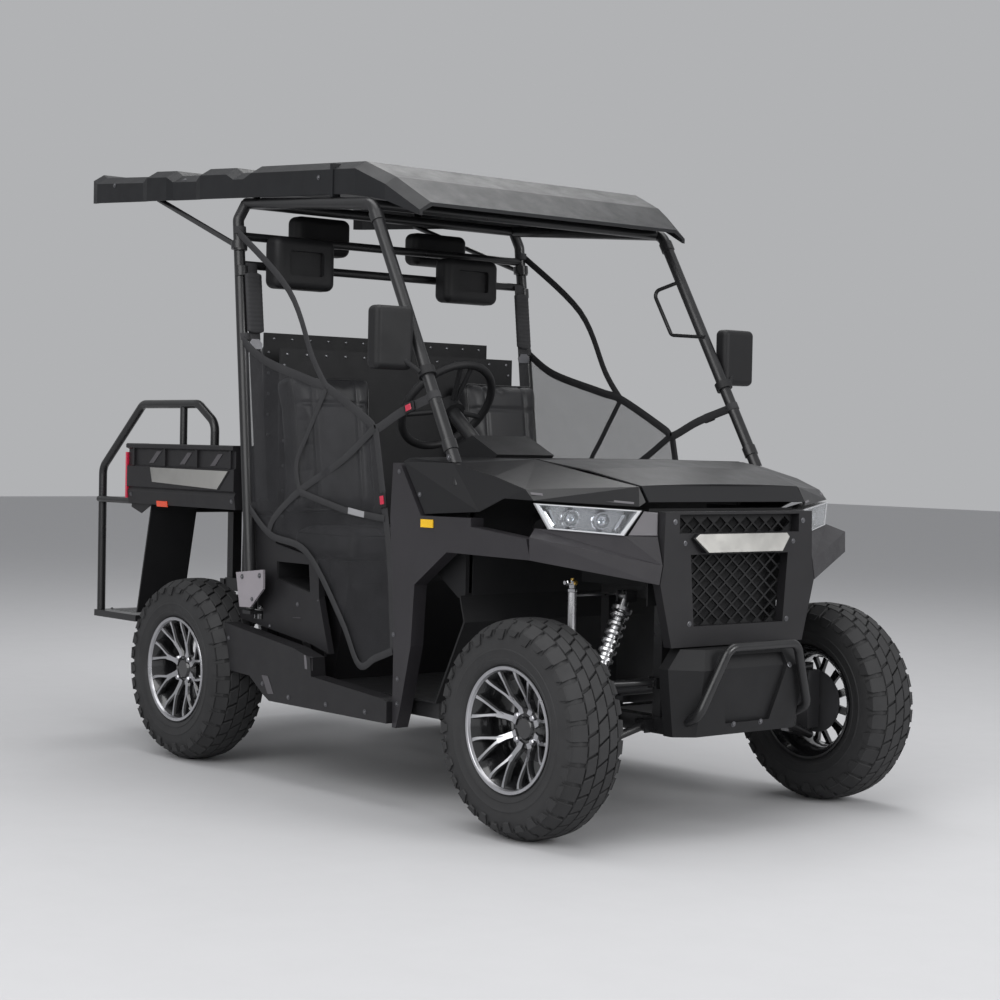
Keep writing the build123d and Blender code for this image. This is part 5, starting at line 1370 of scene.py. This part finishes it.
def nearest(carriers, aim):
    """The first place, and its facing, where a line from the camera meets one of the nodes."""
    found = [hit(node, CAMERA_PLACE, aim) for node in carriers]
    return min((row for row in found if row), key=lambda row: (row[0] - CAMERA_PLACE).length)


def build_patches():
    """Small raised slabs of painted light, lit facets and highlight strips, on the near side and mirrored
    copies on the far side.
    """
    groups = {}
    for carriers, finish, lift, outline in PATCHES:
        found = [nearest(carriers, sight(across, down)) for across, down in outline]
        way = sum((normal for place, normal in found), Vector()).normalized()
        near = [place + way * 0.0003 for place, normal in found]
        far = [Vector((p.x, -p.y, p.z)) for p in near]
        parts = groups.setdefault(finish, [])
        parts.append(slab(near, way * lift / 1000, 0.0012))
        parts.append(slab(far, Vector((way.x, -way.y, way.z)) * lift / 1000, 0.0012))
    for finish, parts in groups.items():
        piece("facets_" + finish, parts, finish, 30)


# Nose

# The grey piece beside a lamp, in mm: ahead, out, up
LAMP_CORNER = ((1096, 352, 979), (1131, 327, 975), (1134, 330, 905), (1078, 398, 905))
# Turned profiles in metres: radius, height
VALVE_BODY = ((0.0145, 0.0003), (0.0165, 0.002), (0.0165, 0.010), (0.0120, 0.013), (0.0120, 0.024),
              (0.0150, 0.026), (0.0150, 0.034), (0.0110, 0.037))
VALVE_PORT = ((0.0085, 0.010), (0.0085, 0.024), (0.0060, 0.026), (0.0060, 0.032))
# The liner's side walls, ahead and up, and its front, across and up, in mm
LINER_WALL = ((742, 744.3), (1077, 744.3), (1077, 988), (742, 988))
LINER_FRONT = ((-254, 566), (254, 566), (254, 692), (318, 692), (318, 988), (-318, 988), (-318, 692),
               (-254, 692))


def build_nose():
    """Grey corner pieces beside the lamps, valve blocks on the reservoirs."""
    corners = []
    blocks = []
    brass = []
    for sign in SIDES.values():
        outline = [at(x, y * sign, z) for x, y, z in LAMP_CORNER]
        way = (outline[1] - outline[0]).cross(outline[3] - outline[0]).normalized()
        if way.x < 0:
            way = -way
        corners.append(slab(outline, way * 0.006, 0.003))
        top = at(850.5, 415 * sign, 722)
        blocks.append(revolve(VALVE_BODY, top, UP, 20))
        blocks.append(revolve(VALVE_PORT, top + UP * 0.030, ACROSS * sign, 14))
        brass.append(bolt(top + UP * 0.030 + AHEAD * 0.0148, AHEAD, 0.0055, 0.007))
        brass.append(bolt(top + UP * 0.0368, UP, 0.0060, 0.007))
    piece("lamp_corners", corners, "grey_trim_and_highlight", 35)
    piece("valve_blocks", blocks, "chrome", 35)
    piece("valve_nuts", brass, "brass", 35)


def build_liner():
    """A dark liner behind the grille: two walls on the tower beams and a front sheet against the posts."""
    sheets = []
    for sign in SIDES.values():
        sheets.append(slab([at(x, 276 * sign, z) for x, z in LINER_WALL], ACROSS * (0.003 * sign), 0.001))
    sheets.append(slab([at(1079.3, y, z) for y, z in LINER_FRONT], AHEAD * 0.003, 0.001))
    piece("nose_liner", sheets, "grained", 30)


place_camera()
light_scene()
dress_nodes()
for wheel_axle, wheel_side in WHEELS:
    build_tyre(wheel_axle, wheel_side)
for wheel_axle, wheel_side in WHEELS:
    build_rim(wheel_axle, wheel_side)
for seat_side in SIDES:
    build_front_seat(seat_side)
build_rear_seat()
for net_side in SIDES:
    build_net(net_side)
    build_buckles(net_side)
build_belts()
build_lamps()
build_badges()
build_reflectors()
build_screws()
build_rivets()
build_fittings()
build_gauge()
build_bins()
build_switches()
build_patches()
build_nose()
build_liner()
